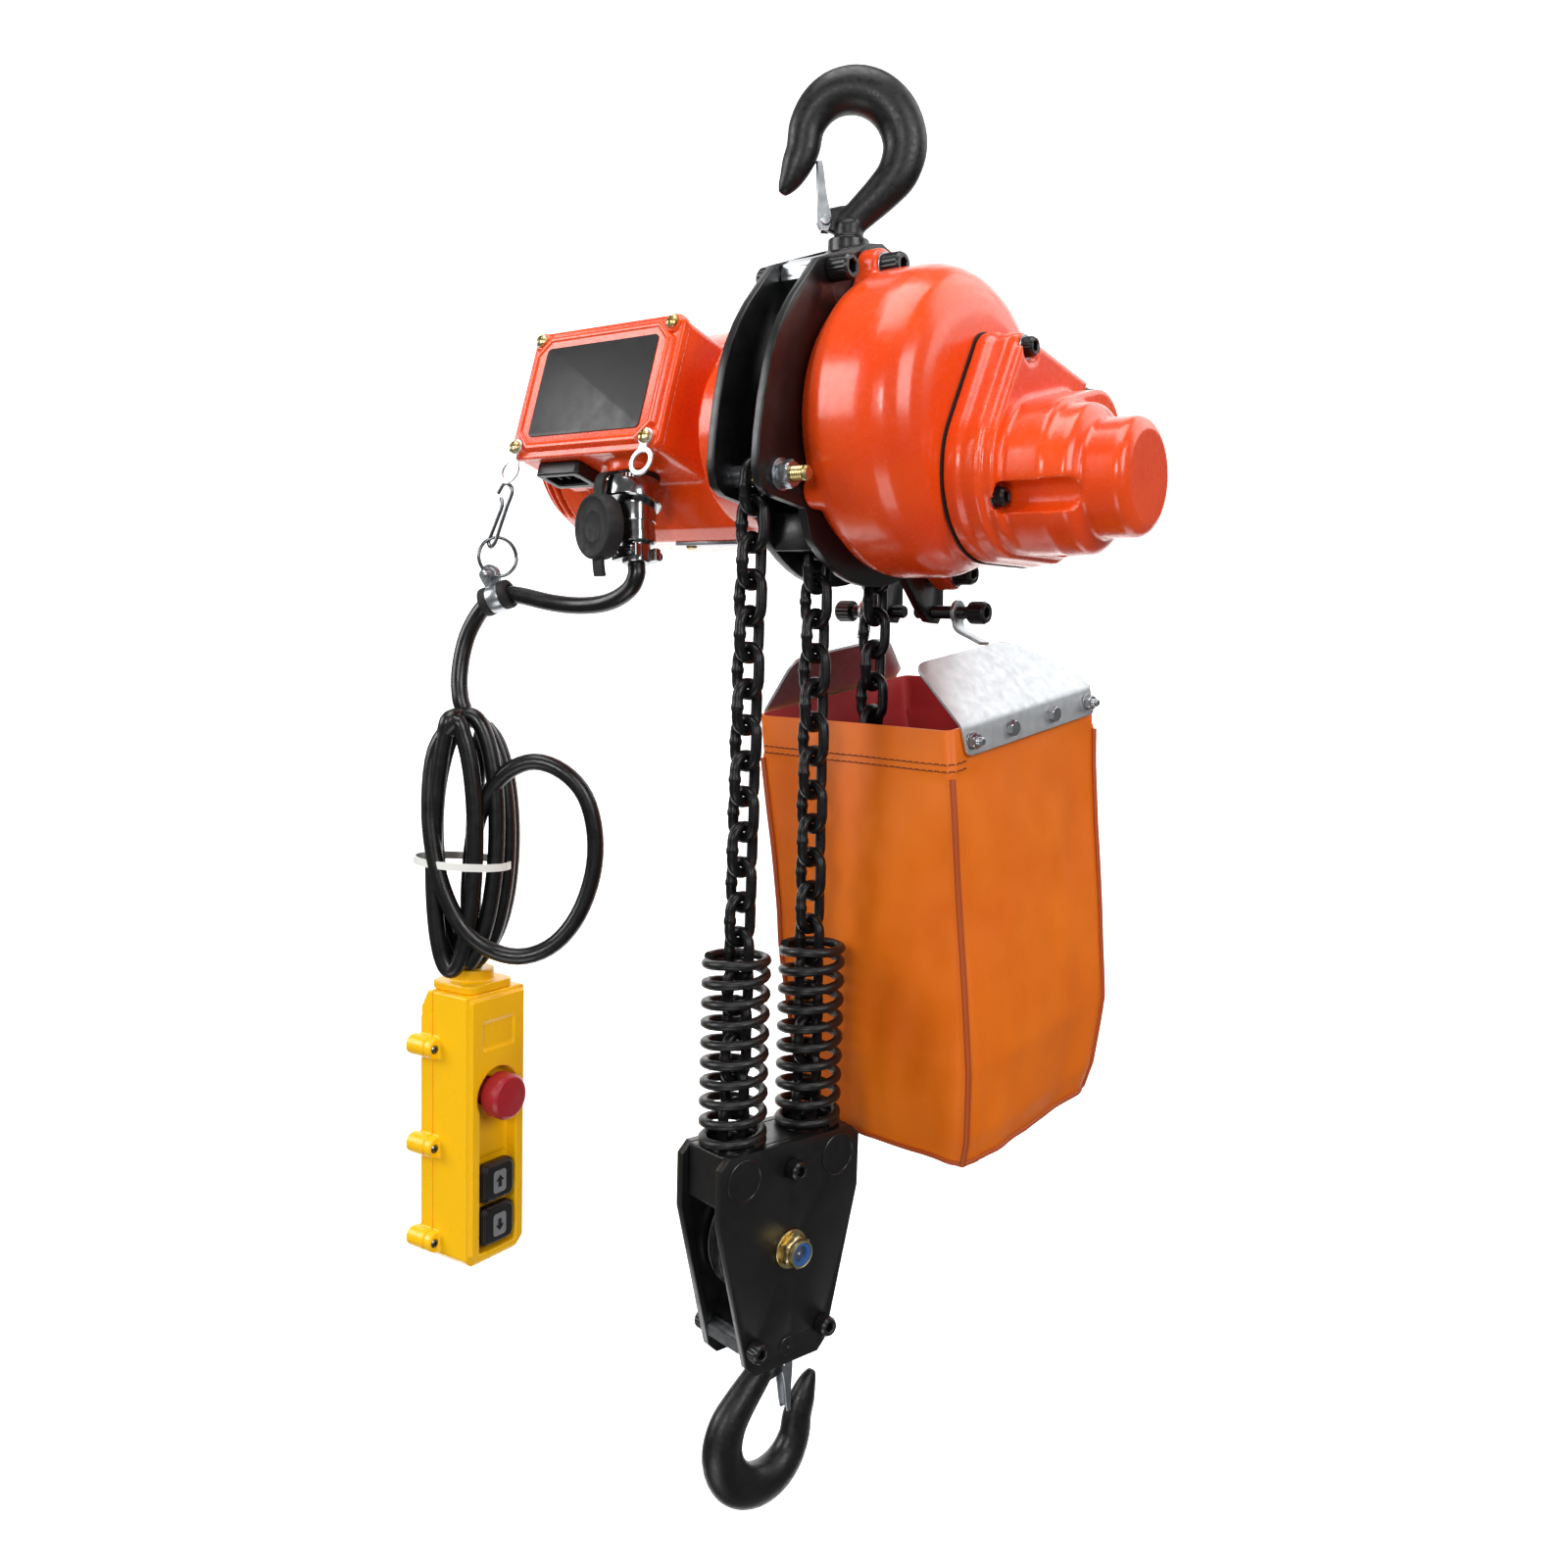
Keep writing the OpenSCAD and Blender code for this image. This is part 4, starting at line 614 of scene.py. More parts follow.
# %% Stored turns
# Each row is where a turn passes its top: middle, half width, half height and depth, all in mm.
TURNS = [(-3, 9, 76, -12), (-6, 17, 74, -13), (4, 20, 75, -4), (1, 24, 72, 8), (8, 18, 66, 12)]
BIG_LOOP = [
    (-14, -11, 55), (-17, -13, 25), (-14, -15, -5), (-6, -16, -32), (6, -15, -52), (22, -13, -63),
    (40, -12, -65), (57, -10, -57), (70, -8, -40), (78, -7, -16), (79, -7, 8), (73, -7, 30),
    (60, -7, 44), (43, -7, 49.5), (27, -7, 43), (15, -6, 28), (8, -6, 8), (5, -5, -15),
    (4, -4, -38), (6, -3, -56),
]
LAST_DROP = [(5, 12, 46), (3, 11, 10), (2.5, 10.5, -30), (2.5, 10.5, -60), (2.5, 10.5, -88)]


def turn_points(start, end):
    """The stored turns from one angle to another. A whole turn is 360 degrees from its top."""
    found = []
    for angle in range(start, end, 15):
        turn, share = divmod(angle / 360, 1)
        low, high = TURNS[int(turn)], TURNS[min(int(turn) + 1, len(TURNS) - 1)]
        middle, wide, tall, depth = [a + (b - a) * share for a, b in zip(low, high)]
        found.append((middle - wide * sin(radians(angle)), depth, tall * cos(radians(angle))))
    return found


stored = turn_points(15, 360) + BIG_LOOP + turn_points(360 + 195, 4 * 360 + 15) + LAST_DROP
cable_points = [Vector(p) * MM for p in CABLE_ROUTE] + [hank_point(*p) for p in stored]
cable_line = smooth_path(cable_points, 4)
cable = piece("control_cable", tube(cable_line, CABLE_D / 2), SHEATH, ["cable", "cable_hank"], size=1)
print("control cable", round(length_of(cable_line), 3), "m long")

# %% Cable tie
TIE_HEIGHT = -12
TIE_SECTION = ((0, -2.2), (0, 2.2), (1.3, 2.2), (1.3, -2.2))
tie_rings = []
for angle in range(0, 360, 10):
    across = 27.6 * cos(radians(angle)) - 1
    point = hank_point(across, 20 * sin(radians(angle)), TIE_HEIGHT - across * 0.05)
    out = (point - hank_point(-1, 0, TIE_HEIGHT)).normalized()
    tie_rings.append([point + (out * d + Vector((0, 0, h))) * MM for d, h in TIE_SECTION])
tie = piece("cable_tie", loft(tie_rings, closed=True), WHITE, ["hank_tie"], size=1)

# %% [markdown]
# ## The load chain
# Short link steel chain: round wire bent into links and flash welded, so each link carries a small bead in the
# middle of one side. Neighbouring links stand at right angles. One node tree puts a copy of the link on each
# point that it is given, turned by the point's own angles, and the same tree places every stretch of chain.

# %% Link
WIRE_R, LINK_END, LINK_PITCH = 3.0, 7.5, 19
STRAIGHT = LINK_PITCH / 2 + 3.15 - LINK_END


def link_shape():
    """One welded link, long along Z and wide along X."""
    line = [(x, STRAIGHT + z) for x, z in [on_circle(LINK_END, a) for a in range(0, 181, 20)]]
    line += [(-LINK_END, z) for z in (2.2, 0.9, -0.9, -2.2)]
    line += [(-x, -z) for x, z in line[:10]] + [(LINK_END, 0)]
    beads = [WIRE_R + (0.5 if x < -7 and abs(z) < 1 else 0) for x, z in line]
    return tube([(x, 0, z) for x, z in line], beads, 12, closed=True)


def copies_tree():
    """Geometry nodes: an object's copies on a mesh's points, each turned by the point's own turn."""
    tree = bpy.data.node_groups.new("copies_on_points", "GeometryNodeTree")
    sockets = {name: tree.interface.new_socket(name, in_out="INPUT", socket_type="NodeSocket" + kind).identifier
               for name, kind in (("Points", "Geometry"), ("Shape", "Object"), ("Finish", "Material"))}
    tree.interface.new_socket("Copies", in_out="OUTPUT", socket_type="NodeSocketGeometry")
    node = {name: tree.nodes.new(kind) for name, kind in (
        ("start", "NodeGroupInput"), ("shape", "GeometryNodeObjectInfo"), ("turn", "GeometryNodeInputNamedAttribute"),
        ("rotation", "FunctionNodeEulerToRotation"), ("copies", "GeometryNodeInstanceOnPoints"),
        ("real", "GeometryNodeRealizeInstances"), ("painted", "GeometryNodeSetMaterial"), ("end", "NodeGroupOutput"))}
    node["turn"].data_type = "FLOAT_VECTOR"
    node["turn"].inputs["Name"].default_value = "turn"
    for giver, output, taker, socket in (
        ("start", "Shape", "shape", "Object"), ("start", "Points", "copies", "Points"),
        ("shape", "Geometry", "copies", "Instance"), ("turn", "Attribute", "rotation", "Euler"),
        ("rotation", "Rotation", "copies", "Rotation"), ("copies", "Instances", "real", "Geometry"),
        ("real", "Geometry", "painted", "Geometry"), ("start", "Finish", "painted", "Material"),
        ("painted", "Geometry", "end", "Copies"),
    ):
        tree.links.new(node[giver].outputs[output], node[taker].inputs[socket])
    return tree, sockets


COPIES, SOCKET = copies_tree()


def copies(name, shape, placings, material):
    """A piece made of the shape's copies, one for each matrix."""
    made = mesh_object(name, [m.to_translation() for m in placings], [])
    turns = made.data.attributes.new("turn", "FLOAT_VECTOR", "POINT")
    turns.data.foreach_set("vector", [a for m in placings for a in m.to_euler()])
    modifier = made.modifiers.new("copies", "NODES")
    modifier.node_group = COPIES
    modifier[SOCKET["Shape"]] = shape
    modifier[SOCKET["Finish"]] = material
    return apply_modifiers(made)


def pattern(name, shape):
    """A shape in mm that is only copied, never shown."""
    made = mesh_object(name, [Vector(v) * MM for v in shape[0]], shape[1])
    made.hide_render = made.hide_viewport = True
    return made


link = pattern("link_shape", link_shape())
print("a link has", len(link.data.polygons), "faces")

# %% Falls and wraps
DEAD_TOP, LIVE_TOP, FALL_END = Vector((0, -78, -198)), Vector((0, -22.28, -159.85)), -616.0
# Each wheel's middle, and how far from it the chain's middle runs.
WHEEL_AT, WHEEL_MID, SHEAVE_MID = Vector((0, AXIS_Y, AXIS_Z)), 29.2374, 26.1011


def turned_link(i, first, twist=0.0):
    """Turn of the link at place i about the chain's run."""
    return spin(twist + 90 * ((i + first + 1) % 2), "Z")


def fall_places(top, end, count, twist=0):
    """Where each link of a straight fall sits."""
    run = Vector(end) - Vector(top)
    lean = Matrix.Rotation(atan2(-run.x, -run.z), 4, "Y")
    lean = lean @ Matrix.Rotation(atan2(run.y, sqrt(run.x ** 2 + run.z ** 2)), 4, "X")
    return [shift(*Vector(top) * MM) @ lean @ shift(0, 0, -(i + 0.5) * LINK_PITCH * MM)
            @ turned_link(i, 0, (i + 0.5) / count * twist) for i in range(count)]


def wrap_places(middle, mid, start, step, first, turn=0.0):
    """Where each of the five links round a wheel sits. Angles run from straight up, towards -Y."""
    return [shift(*middle * MM) @ spin(turn, "Z") @ spin(-start - step * i, "X")
            @ shift(0, 0, mid * MM) @ spin(90, "X") @ turned_link(i, first) for i in range(5)]


# %% Five stretches of chain
DEAD_FOOT, LIVE_FOOT = Vector((-5.687, -76.098, FALL_END)), Vector((5.687, -22.585, FALL_END))
SHEAVE_AT = BLOCK_AT - Vector((0, 0, 61))
STRETCHES = {
    "anchored_fall": ("dead_chain", fall_places(DEAD_TOP, DEAD_FOOT, 22, BLOCK_TURN)),
    "lifting_fall": ("live_chain", fall_places(LIVE_TOP, LIVE_FOOT, 24, BLOCK_TURN)),
    "chain_round_lift_wheel": ("wheel_chain", wrap_places(WHEEL_AT, WHEEL_MID, -56.917, 36, 1)),
    "chain_round_sheave": ("sheave_chain", wrap_places(SHEAVE_AT, SHEAVE_MID, 100, 40, 0, BLOCK_TURN)),
    "chain_into_bag": ("slack_chain", fall_places((0, 38.684, -176), (0, 38.684, -385), 11)),
}
for name, (node, placings) in STRETCHES.items():
    dress(copies(name, link, placings, CHAIN), CHAIN, [node], angle=0)
    print(name, len(placings), "links")
for name, anchor, links in (("anchored_fall", DEAD_TOP, 22), ("lifting_fall", LIVE_TOP, 24)):
    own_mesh(bpy.data.objects[name])

# %% [markdown]
# ## Buffer springs
# Two compression springs on the load block take the last push when the block meets the hoist. They are coiled
# from five millimetre wire round a mandrel, with their end turns closed down and ground flat.

# %% Springs
def spring_line(radius, turns, low, high, dead=0.75, step=24):
    """A helix whose first and last turns lie flat."""
    line = []
    for i in range(int(turns * step) + 1):
        t = i / step
        share = min(max((t - dead) / (turns - 2 * dead), 0), 1)
        line.append((radius * cos(2 * pi * t), radius * sin(2 * pi * t), low + (high - low) * share))
    return line


FALL, WIRE, COIL_D, COIL_TOP = 27.354, 5.2, 38, 104.6
coil = tube(spring_line((COIL_D - WIRE) / 2, 10.6, WIRE / 2, COIL_TOP - WIRE / 2), WIRE / 2, 14)
coils = merged(*[moved(coil, block_place(y=side * FALL)) for side in (-1, 1)])
springs = piece("buffer_springs_coiled", coils, FORGED, ["buffer_springs"], angle=60)
print("springs", len(springs.data.polygons), "faces")

# %% [markdown]
# ## Chain bag
# The bag is coated cloth, sewn from a front, a back, two sides and a foot, and it hangs from two zinc brackets.
# It sags into a belly above its foot, its corner seams stand proud, its hem is folded out and sewn twice, and
# its inside is lined in red. The skin is one loft with the folds worked into it, thickened to a cloth.

# %% Cloth
# Woven polyester with a PVC coat: threads every 0.7 mm show through a low gloss, with colour worn in broad patches.
CLOTH = surface("orange_coated_cloth", "#EA7009", 0.34, (0.08, 3, "#DC6504", "#EA740A"), (0.02, 4, 0.36, 0.5), ior=1.45)
spot = add(CLOTH, "ShaderNodeTexCoord").outputs["Object"]
threads = [add(CLOTH, "ShaderNodeTexWave", {"bands_direction": way}, Vector=spot, Scale=450, Distortion=0.6,
               Detail=1).outputs["Fac"] for way in "XZ"]
weave = add(CLOTH, "ShaderNodeMath", {"operation": "ADD"}, at0=threads[0], at1=threads[1]).outputs[0]
relief(CLOTH, weave, 0.00005, 0.5)
LINING = finish("red_cloth_lining", "#A81E22", 0.6, sheen=0.2)
# The piping is a real welt, but its tape is a darker orange than the cloth so that it paints the shade along the
# creased corner seams and the foot's welt.
CREASE_SHADE_TAPE = finish("orange_tape_with_painted_crease_shade", "#A8460A", 0.5)
THREAD = finish("brown_sewing_thread", "#6E3414", 0.7)

# %% Bag skin
BAG_AT = shift(12, 78, 0) @ spin(-8, "Z")
TILT = radians(10)
# Share of the way down, height, middle x and y, half width, half depth, corner radius.
LEVELS = [
    (0.00, -320, 0, 0, 74.4, 69.4, 6), (0.10, -344, 3.2, 0, 74.2, 69.2, 5), (0.35, -402, 11.6, -0.6, 72.6, 68.2, 6),
    (0.60, -458, 19.8, -1.2, 71.6, 67.4, 8), (0.78, -506, 26, -2, 70.8, 66.4, 11), (0.92, -546, 29, -2, 66.5, 64, 14),
    (1.00, -561, 30, -2, 62, 62, 14),
]
# Points along a side, round a corner, and both.
RUNS, STEPS = 22, 7
SIDE = RUNS + STEPS
# How far the sides belly out, the hem is folded out and the corner seams stand proud.
BELLY, HEM, RIDGE = 3.8, 0.9, 1.9


def level_at(share):
    """The bag's section at a share of its height."""
    for low, high in zip(LEVELS, LEVELS[1:]):
        if share <= high[0]:
            t = (share - low[0]) / (high[0] - low[0])
            return [a + (b - a) * t for a, b in zip(low[1:], high[1:])]


def bag_ring(share):
    """The bag's section as a ring of points: four sides with a belly, and four corners with a sewn ridge."""
    z, x0, y0, hx, hy, r = level_at(share)
    hem = HEM if share < 0.1 else 0
    ring = []
    for side in range(4):
        turn = Matrix.Rotation(pi / 2 * side, 2)
        a, b = (hx, hy) if side % 2 == 0 else (hy, hx)
        for k in range(RUNS):
            t = -1 + 2 * (k + 0.5) / RUNS
            belly = (1 - t * t) ** 1.6 * (BELLY * sin(pi * min(share * 1.1, 1)) - 1.2 * (share < 0.1)) + hem
            ring.append(turn @ Vector((a + belly, t * (b - r))))
        for k in range(STEPS):
            angle = pi / 2 * (k + 0.5) / STEPS
            far = r + hem + (RIDGE if abs(k - 3) < 1 and share > 0.1 else 0)
            ring.append(turn @ Vector((a - r + far * cos(angle), b - r + far * sin(angle))))
    ring = [Vector((x0 + p.x, y0 + p.y * cos(TILT), z + (y0 + p.y) * sin(TILT))) for p in ring]
    middle = sum(ring, Vector()) / len(ring)
    return [p + (p - middle).normalized() * crease(p) * min(share * 5, 1) for p in ring]


def crease(p):
    """Soft dents and puckers of hanging cloth, up to about three millimetres."""
    broad = noise.noise(Vector((p.x * 0.02, p.y * 0.02, p.z * 0.009 + 3))) * 3.4
    return broad + noise.noise(Vector((p.x * 0.06, p.y * 0.06, p.z * 0.02))) * 1.6


skin = [bag_ring(i / 64) for i in range(65)]
foot = sum(skin[-1], Vector()) / len(skin[-1])
skin += [[foot + (p - foot) * s - Vector((0, 0, d)) for p in skin[64]]
         for s, d in ((0.95, 1.5), (0.8, 3), (0.5, 4), (0.1, 4.3))]
corners, faces = loft(skin)
rim = tuple(range(len(skin[0])))[::-1]
bag = mesh_object("bag_of_coated_cloth", [BAG_AT @ v * MM for v in corners], [f[::-1] for f in faces if f != rim])
bag.data.materials.append(CLOTH)
bag.data.materials.append(LINING)
thick = bag.modifiers.new("thickness", "SOLIDIFY")
thick.thickness, thick.offset, thick.material_offset = 1.6 * MM, -1, 1
apply_modifiers(bag)
dress(bag, CLOTH, ["chain_bag"], angle=60)
print("bag", len(bag.data.polygons), "faces")

# %% Piping, coloured darker than the cloth to paint the shade along the creased seams
piping = [tube([BAG_AT @ skin[i][side * SIDE + RUNS + 3] for i in range(7, 65)], 1.7, 8) for side in range(4)]
piping.append(tube([BAG_AT @ p for p in skin[64]], 1.5, 8, closed=True))
piece("bag_piping", merged(*piping), CREASE_SHADE_TAPE, body="bag", angle=60)

# %% Stitches
def along(line, spacing, lift=0.0):
    """Placings at even steps along a line, each with its X axis on the line, in metres."""
    placings, gone, goal = [], 0.0, spacing / 2
    for a, b in zip(line, line[1:]):
        span = (b - a).length
        while goal <= gone + span:
            run = (b - a).normalized()
            place_at = a + run * (goal - gone)
            side_way = Vector((0, 0, 1)).cross(run).normalized()
            turn = Matrix((run, side_way, run.cross(side_way))).transposed().to_4x4()
            placings.append(shift(*(place_at - side_way * lift) * MM) @ turn)
            goal += spacing
        gone += span
    return placings


stitch_line = [(-1.9, 0, -0.3), (-1.2, 0, 0.25), (1.2, 0, 0.25), (1.9, 0, -0.3)]
stitch = pattern("stitch_shape", tube(stitch_line, [0.25, 0.4, 0.4, 0.25], 6))
seams = []
for share in (0.078, 0.094):
    ring = [BAG_AT @ p for p in bag_ring(share)]
    seams += [ring[-SIDE - 2:] + ring[:2], ring[SIDE - 2:2 * SIDE]]
stitches = copies("bag_stitches", stitch, [m for line in seams for m in along(line, 4.6, 0.2)], THREAD)
dress(stitches, THREAD, body="bag", angle=0)
print("stitches", len(stitches.data.polygons), "faces")

# %% [markdown]
# ## Castings and mouldings
# The motor and gear housings are die cast aluminium, and the pendant is moulded. Neither has a sharp edge,
# because metal and plastic don't fill one. Each is a copy of its own solid, remeshed evenly and melted until
# its edges are as round as the real ones.

# %% Castings
def arc_slot(x, wide, inner, outer, start, end):
    """A slot round the motor's axis, wide across X, from one angle to another."""
    rings = []
    for k in range(13):
        a = radians(start + (end - start) * k / 12)
        out = Vector((0, cos(a), sin(a)))
        rings.append([Vector((x + dx * wide / 2, AXIS_Y, AXIS_Z)) + out * r
                      for dx, r in ((-1, inner), (1, inner), (1, outer), (-1, outer))])
    return loft(rings)


VENTS = [arc_slot(x, 4.2, 42, 70, a, a + 34) for x in (-198, -190, -182) for a in range(196, 360, 48)]
for node, voxel, passes, keep, cuts in (
    ("gear_housing", 1.1, 14, 0.5, ()), ("gear_cover", 1.0, 10, 0.6, ()), ("motor_housing", 1.1, 7, 0.4, ()),
    ("motor_end_cap", 0.9, 5, 0.5, VENTS), ("control_lid", 0.7, 4, 0.5, ()),
):
    cast_copy(node + "_casting", node, voxel, passes, keep, cuts)

# %% Mouldings
PENDANT = shift(-190, -102, -500) @ spin(4, "Z")
# How far out the button channel's floor is, and how low each button sits.
CHANNEL_X, STOP_Z, UP_Z, DOWN_Z = 13.5, -63, -117, -144


def on_face(x, y, z):
    """Place in the pendant with its Z axis out of the button face and its Y axis up, in mm."""
    return PENDANT @ shift(x, y, z) @ Matrix(((0, 0, 1), (1, 0, 0), (0, 1, 0))).to_4x4()


def room(outline, low, high, z):
    """Space cut out of the channel's floor."""
    return moved(prism(outline, low, high), on_face(CHANNEL_X, 0, z))


shoulder = moved(prism([(-26, -25), (-12, 2), (-26, 2)], -32, 32), PENDANT @ UPRIGHT)
label = moved(prism(rounded_box(26, 16, 1.2), 0, 4), on_face(21.1, 0, -25))
discs = {r: [on_circle(r, a) for a in range(0, 360, 8)] for r in (16.9, 8.7, 5.7)}
travel_room = [room(discs[16.9], -0.7, 1, STOP_Z), room(rounded_box(29.6, 56, 1), -0.7, 1, -130.8),
               room(discs[8.7], -19.2, 0, STOP_Z), room(discs[5.7], -17.2, 0, UP_Z), room(discs[5.7], -17.2, 0, DOWN_Z)]
for node, voxel, passes, cuts in (
    ("pendant_front", 0.6, 8, [label, shoulder] + travel_room), ("pendant_back", 0.6, 8, [shoulder]),
    ("pendant_collar", 0.6, 6, ()), ("stop_button", 0.5, 5, ()), ("up_button", 0.45, 6, ()),
    ("down_button", 0.45, 6, ()), ("power_inlet", 0.6, 3, ()), ("block_guide", 0.8, 4, ()), ("crosshead", 0.8, 4, ()),
):
    cast_copy(node + "_moulding", node, voxel, passes, 0.6, cuts)

# %% [markdown]
# ## Plates and fasteners
# The frame plates and the block plates are laser cut from five millimetre sheet, so their faces are flat and
# their edges are broken by a small bevel that catches the light. Everything that holds them is a stock part:
# socket head screws with a knurled head, hex nuts with chamfered corners, washers and turned hex spacers.

# %% Stock fasteners
def hexagon(flats):
    """Radius of a hexagon at an angle, from its width across flats."""
    return lambda a: flats / 2 / cos(a % (pi / 3) - pi / 6)


def cap_screw(head_r, head_h, key, shank_r, shank):
    """A socket head cap screw that stands on Z = 0, its head knurled, its shank hanging below."""
    def grip(a):
        return head_r + 0.2 * cos(24 * a)
    thread = [(shank_r - 0.35 * (k % 2), -shank + 0.6 * k) for k in range(1, int((shank - 3) / 0.6))]
    head = [(head_r - 0.4, 0), (head_r, 0.5), (grip, 0.9), (grip, head_h - 1.7), (head_r, head_h - 1.4),
            (head_r - 0.9, head_h), (hexagon(key + 1), head_h), (hexagon(key), head_h - 0.5),
            (hexagon(key), head_h * 0.45)]
    return lathe([(shank_r - 0.7, -shank), *thread, (shank_r, -2), (shank_r, 0), *head, (0.1, head_h * 0.4)])


def nut(flats, height, bore):
    """A hex nut on Z = 0, chamfered on both faces."""
    return lathe([(bore, 0), (flats / 2 * 0.97, 0), (hexagon(flats), 0.8), (hexagon(flats), height - 0.8),
                  (flats / 2 * 0.97, height), (bore, height)], closed=True)


def washer(bore, outer, thick):
    return lathe([(bore, 0), (outer - 0.2, 0), (outer, 0.2), (outer, thick - 0.2), (outer - 0.2, thick), (bore, thick)],
                 closed=True)


def thread_rod(radius, low, high):
    """A threaded end, cut with rings 0.7 mm apart, with a chamfered tip at its high end."""
    rings = [(radius - 0.4 * (k % 2), low + 0.7 * k) for k in range(int((high - low - 1) / 0.7))]
    return lathe(rings + [(radius, high - 1), (radius - 0.9, high)], 32)


def at(x, y, z, way=1):
    """Place with its Z axis along +X or -X, in mm."""
    return shift(x, y, z) @ spin(way * 90, "Y")


def in_block(x, y, z, way=1):
    return block_place(x, y, z) @ spin(way * 90, "Y")


def both(shape, y, z):
    """A shape on each side of the load block."""
    return [(shape, in_block(way * BLOCK_HALF, y, z, way)) for way in (1, -1)]


def hex_head(flats, corner_r, height, chamfer):
    """A bolt's hex head on Z = 0."""
    return lathe([(0.1, 0), (corner_r, 0), (hexagon(flats), chamfer), (hexagon(flats), height - 0.1), (0.1, height)])


def parts(name, material, node, *placed, body="hoist"):
    """A piece of several placed shapes. One without a node of its own rides on the body."""
    return piece(name, merged(*[moved(shape, where) for shape, where in placed]), material, [node] if node else [],
                 body=None if node else body, angle=30)

# %% Cut plates
def broken_edges(name, node, width):
    """A cut or pressed part: the solid of a node with its sharp edges broken."""
    made = rounded(solid_copy(name, node, flat=True), width, 2, 50)
    made.data.materials.clear()
    print(name, len(made.data.polygons), "faces")
    return dress(made, FINISH_OF[node], [node], angle=30)


for node, width in (("frame_plate_left", 0.7), ("frame_plate_right", 0.7), ("block_plates", 0.8), ("trunnion", 0.4),
                    ("chain_guide", 0.8), ("idle_sheave", 0.5)):
    broken_edges(node + "_cut", node, width)

# %% Frame fasteners
# How far out each face is where screws sit: frame plate, gear case and gear cover.
PLATE, CASE_X, COVER_X = 17, 30, 107.5
FRONT_SCREW, ANCHOR, BAG_BOLT = (-38, -92), (-78, -202), (78, -267)
pin = lathe(even_ended([(3.9, 16.6), (3, 17.2)]), 32)
big_screw = cap_screw(6.5, 13, 6.5, 4, 5)
parts("frame_screws", COATED, "frame_bolts", (big_screw, at(PLATE, *FRONT_SCREW)),
      (big_screw, at(-PLATE, *FRONT_SCREW, -1)), (pin, at(0, -18, -84.5)), (pin, at(0, 26, -84)))
parts("frame_spacer", ZINC, None, (nut(14, 23.9, 4), at(-11.95, *FRONT_SCREW)))
HOUSING_POINTS = [(-8, -86), (-50, -207.5), (80, -244)]
COVER_POINTS = [(7, -133), (80, -148), (-17, -211)]
housing_screw = cap_screw(6.5, 12, 6, 3.5, 18)
parts("gear_case_screws", COATED, "housing_bolts", *[(housing_screw, at(CASE_X, *p)) for p in HOUSING_POINTS])
cover_screw = cap_screw(5, 6.5, 5, 2.5, 20)
parts("gear_cover_screws", COATED, "cover_screws", *[(cover_screw, at(COVER_X, *p)) for p in COVER_POINTS])
parts("case_washers", ZINC, None, *[(washer(6.6, 7.7, 1), at(CASE_X, *p)) for p in HOUSING_POINTS],
      *[(washer(5.1, 6.4, 0.8), at(COVER_X + 0.1, *p)) for p in COVER_POINTS],
      (thread_rod(2.5, 2, 10.5), at(COVER_X, *COVER_POINTS[1])))
parts("anchor_bolt_gold", GOLD, "anchor_bolt", (thread_rod(4, 0, 40), at(-5, *ANCHOR)),
      (hex_head(13, 6.1, 5.5, 0.7), at(-22.5, *ANCHOR)))
parts("anchor_nut", ZINC, None, (washer(4.2, 8.4, 1.4), at(PLATE, *ANCHOR)),
      (nut(13, 7, 4.1), at(PLATE + 1.4, *ANCHOR)),
      (lathe([(4.1, 0), (5.6, 0), (5.6, 11.9), (4.1, 11.9)], closed=True), at(-12, *ANCHOR)))
bag_screw = cap_screw(6.5, 11, 6, 4, 38)
parts("bag_screws", COATED, "bag_bolts", (bag_screw, at(42, *BAG_BOLT)), (bag_screw, at(-42, *BAG_BOLT, -1)))
print("frame fasteners placed")

# %% Load block fasteners
# How far out the block's plates are, and how low its sheave, its lower screws and its trunnion sit.
BLOCK_HALF, SHEAVE_Z, LOW_Z, TRUNNION_Z = 19.5, -61, -112, -117.7
block_screw = cap_screw(5.5, 8, 5, 3, 5)
placed = both(block_screw, 0, -15) + both(block_screw, -25, LOW_Z) + both(block_screw, 25, LOW_Z)
parts("block_screws", COATED, "block_fasteners", *placed)
parts("block_spacers", ZINC, None, *[(nut(11, 28.9, 3), in_block(-14.45, y, LOW_Z)) for y in (-25, 25)], body="block")
plug = lathe([(0.1, -0.2), (11.9, -0.2), (11.9, 0.5), (11.5, 0.8), (10.8, 0.8), (10.5, 0.3), (0.1, 0.3)], 40)
pivot = lathe([(0.1, -0.2), (5.6, -0.2), (5.6, 0.2), (5.2, 0.5), (1.2, 0.5), (0.3, -0.1)], 32)
placed = both(plug, -34, -14.5) + both(plug, 34, -14.5) + both(pivot, 0, TRUNNION_Z)
parts("block_spigots", COATED, None, *placed, body="block")
nut_at = in_block(BLOCK_HALF + 1.5, 0, SHEAVE_Z)
nut_collar = [(7.4, 5.6), (8.1, 5.6), (8.1, 7), (7.7, 8.4), (6.6, 8.8), (6.6, 8.2), (7.3, 7.6)]
parts("sheave_bolt", GOLD, "sheave_axle", (washer(6, 11, 1.5), in_block(BLOCK_HALF, 0, SHEAVE_Z)),
      (nut(17, 5.8, 6), nut_at), (lathe(nut_collar, closed=True), nut_at),
      (hex_head(17, 8.1, 7, 0.8), in_block(-BLOCK_HALF - 7, 0, SHEAVE_Z)))
parts("nut_insert", BLUE, None, (lathe([(4.6, 5), (7.2, 5), (7.2, 8), (4.6, 8)], closed=True), nut_at), body="block")
parts("sheave_bolt_tip", MACHINED, None, (lathe([(5.9, -46), (5.9, 6.4), (5, 7.3), (1.2, 7.3), (0.2, 6.4)], 40),
                                          in_block(BLOCK_HALF, 0, SHEAVE_Z)), body="block")
print("block fasteners placed")

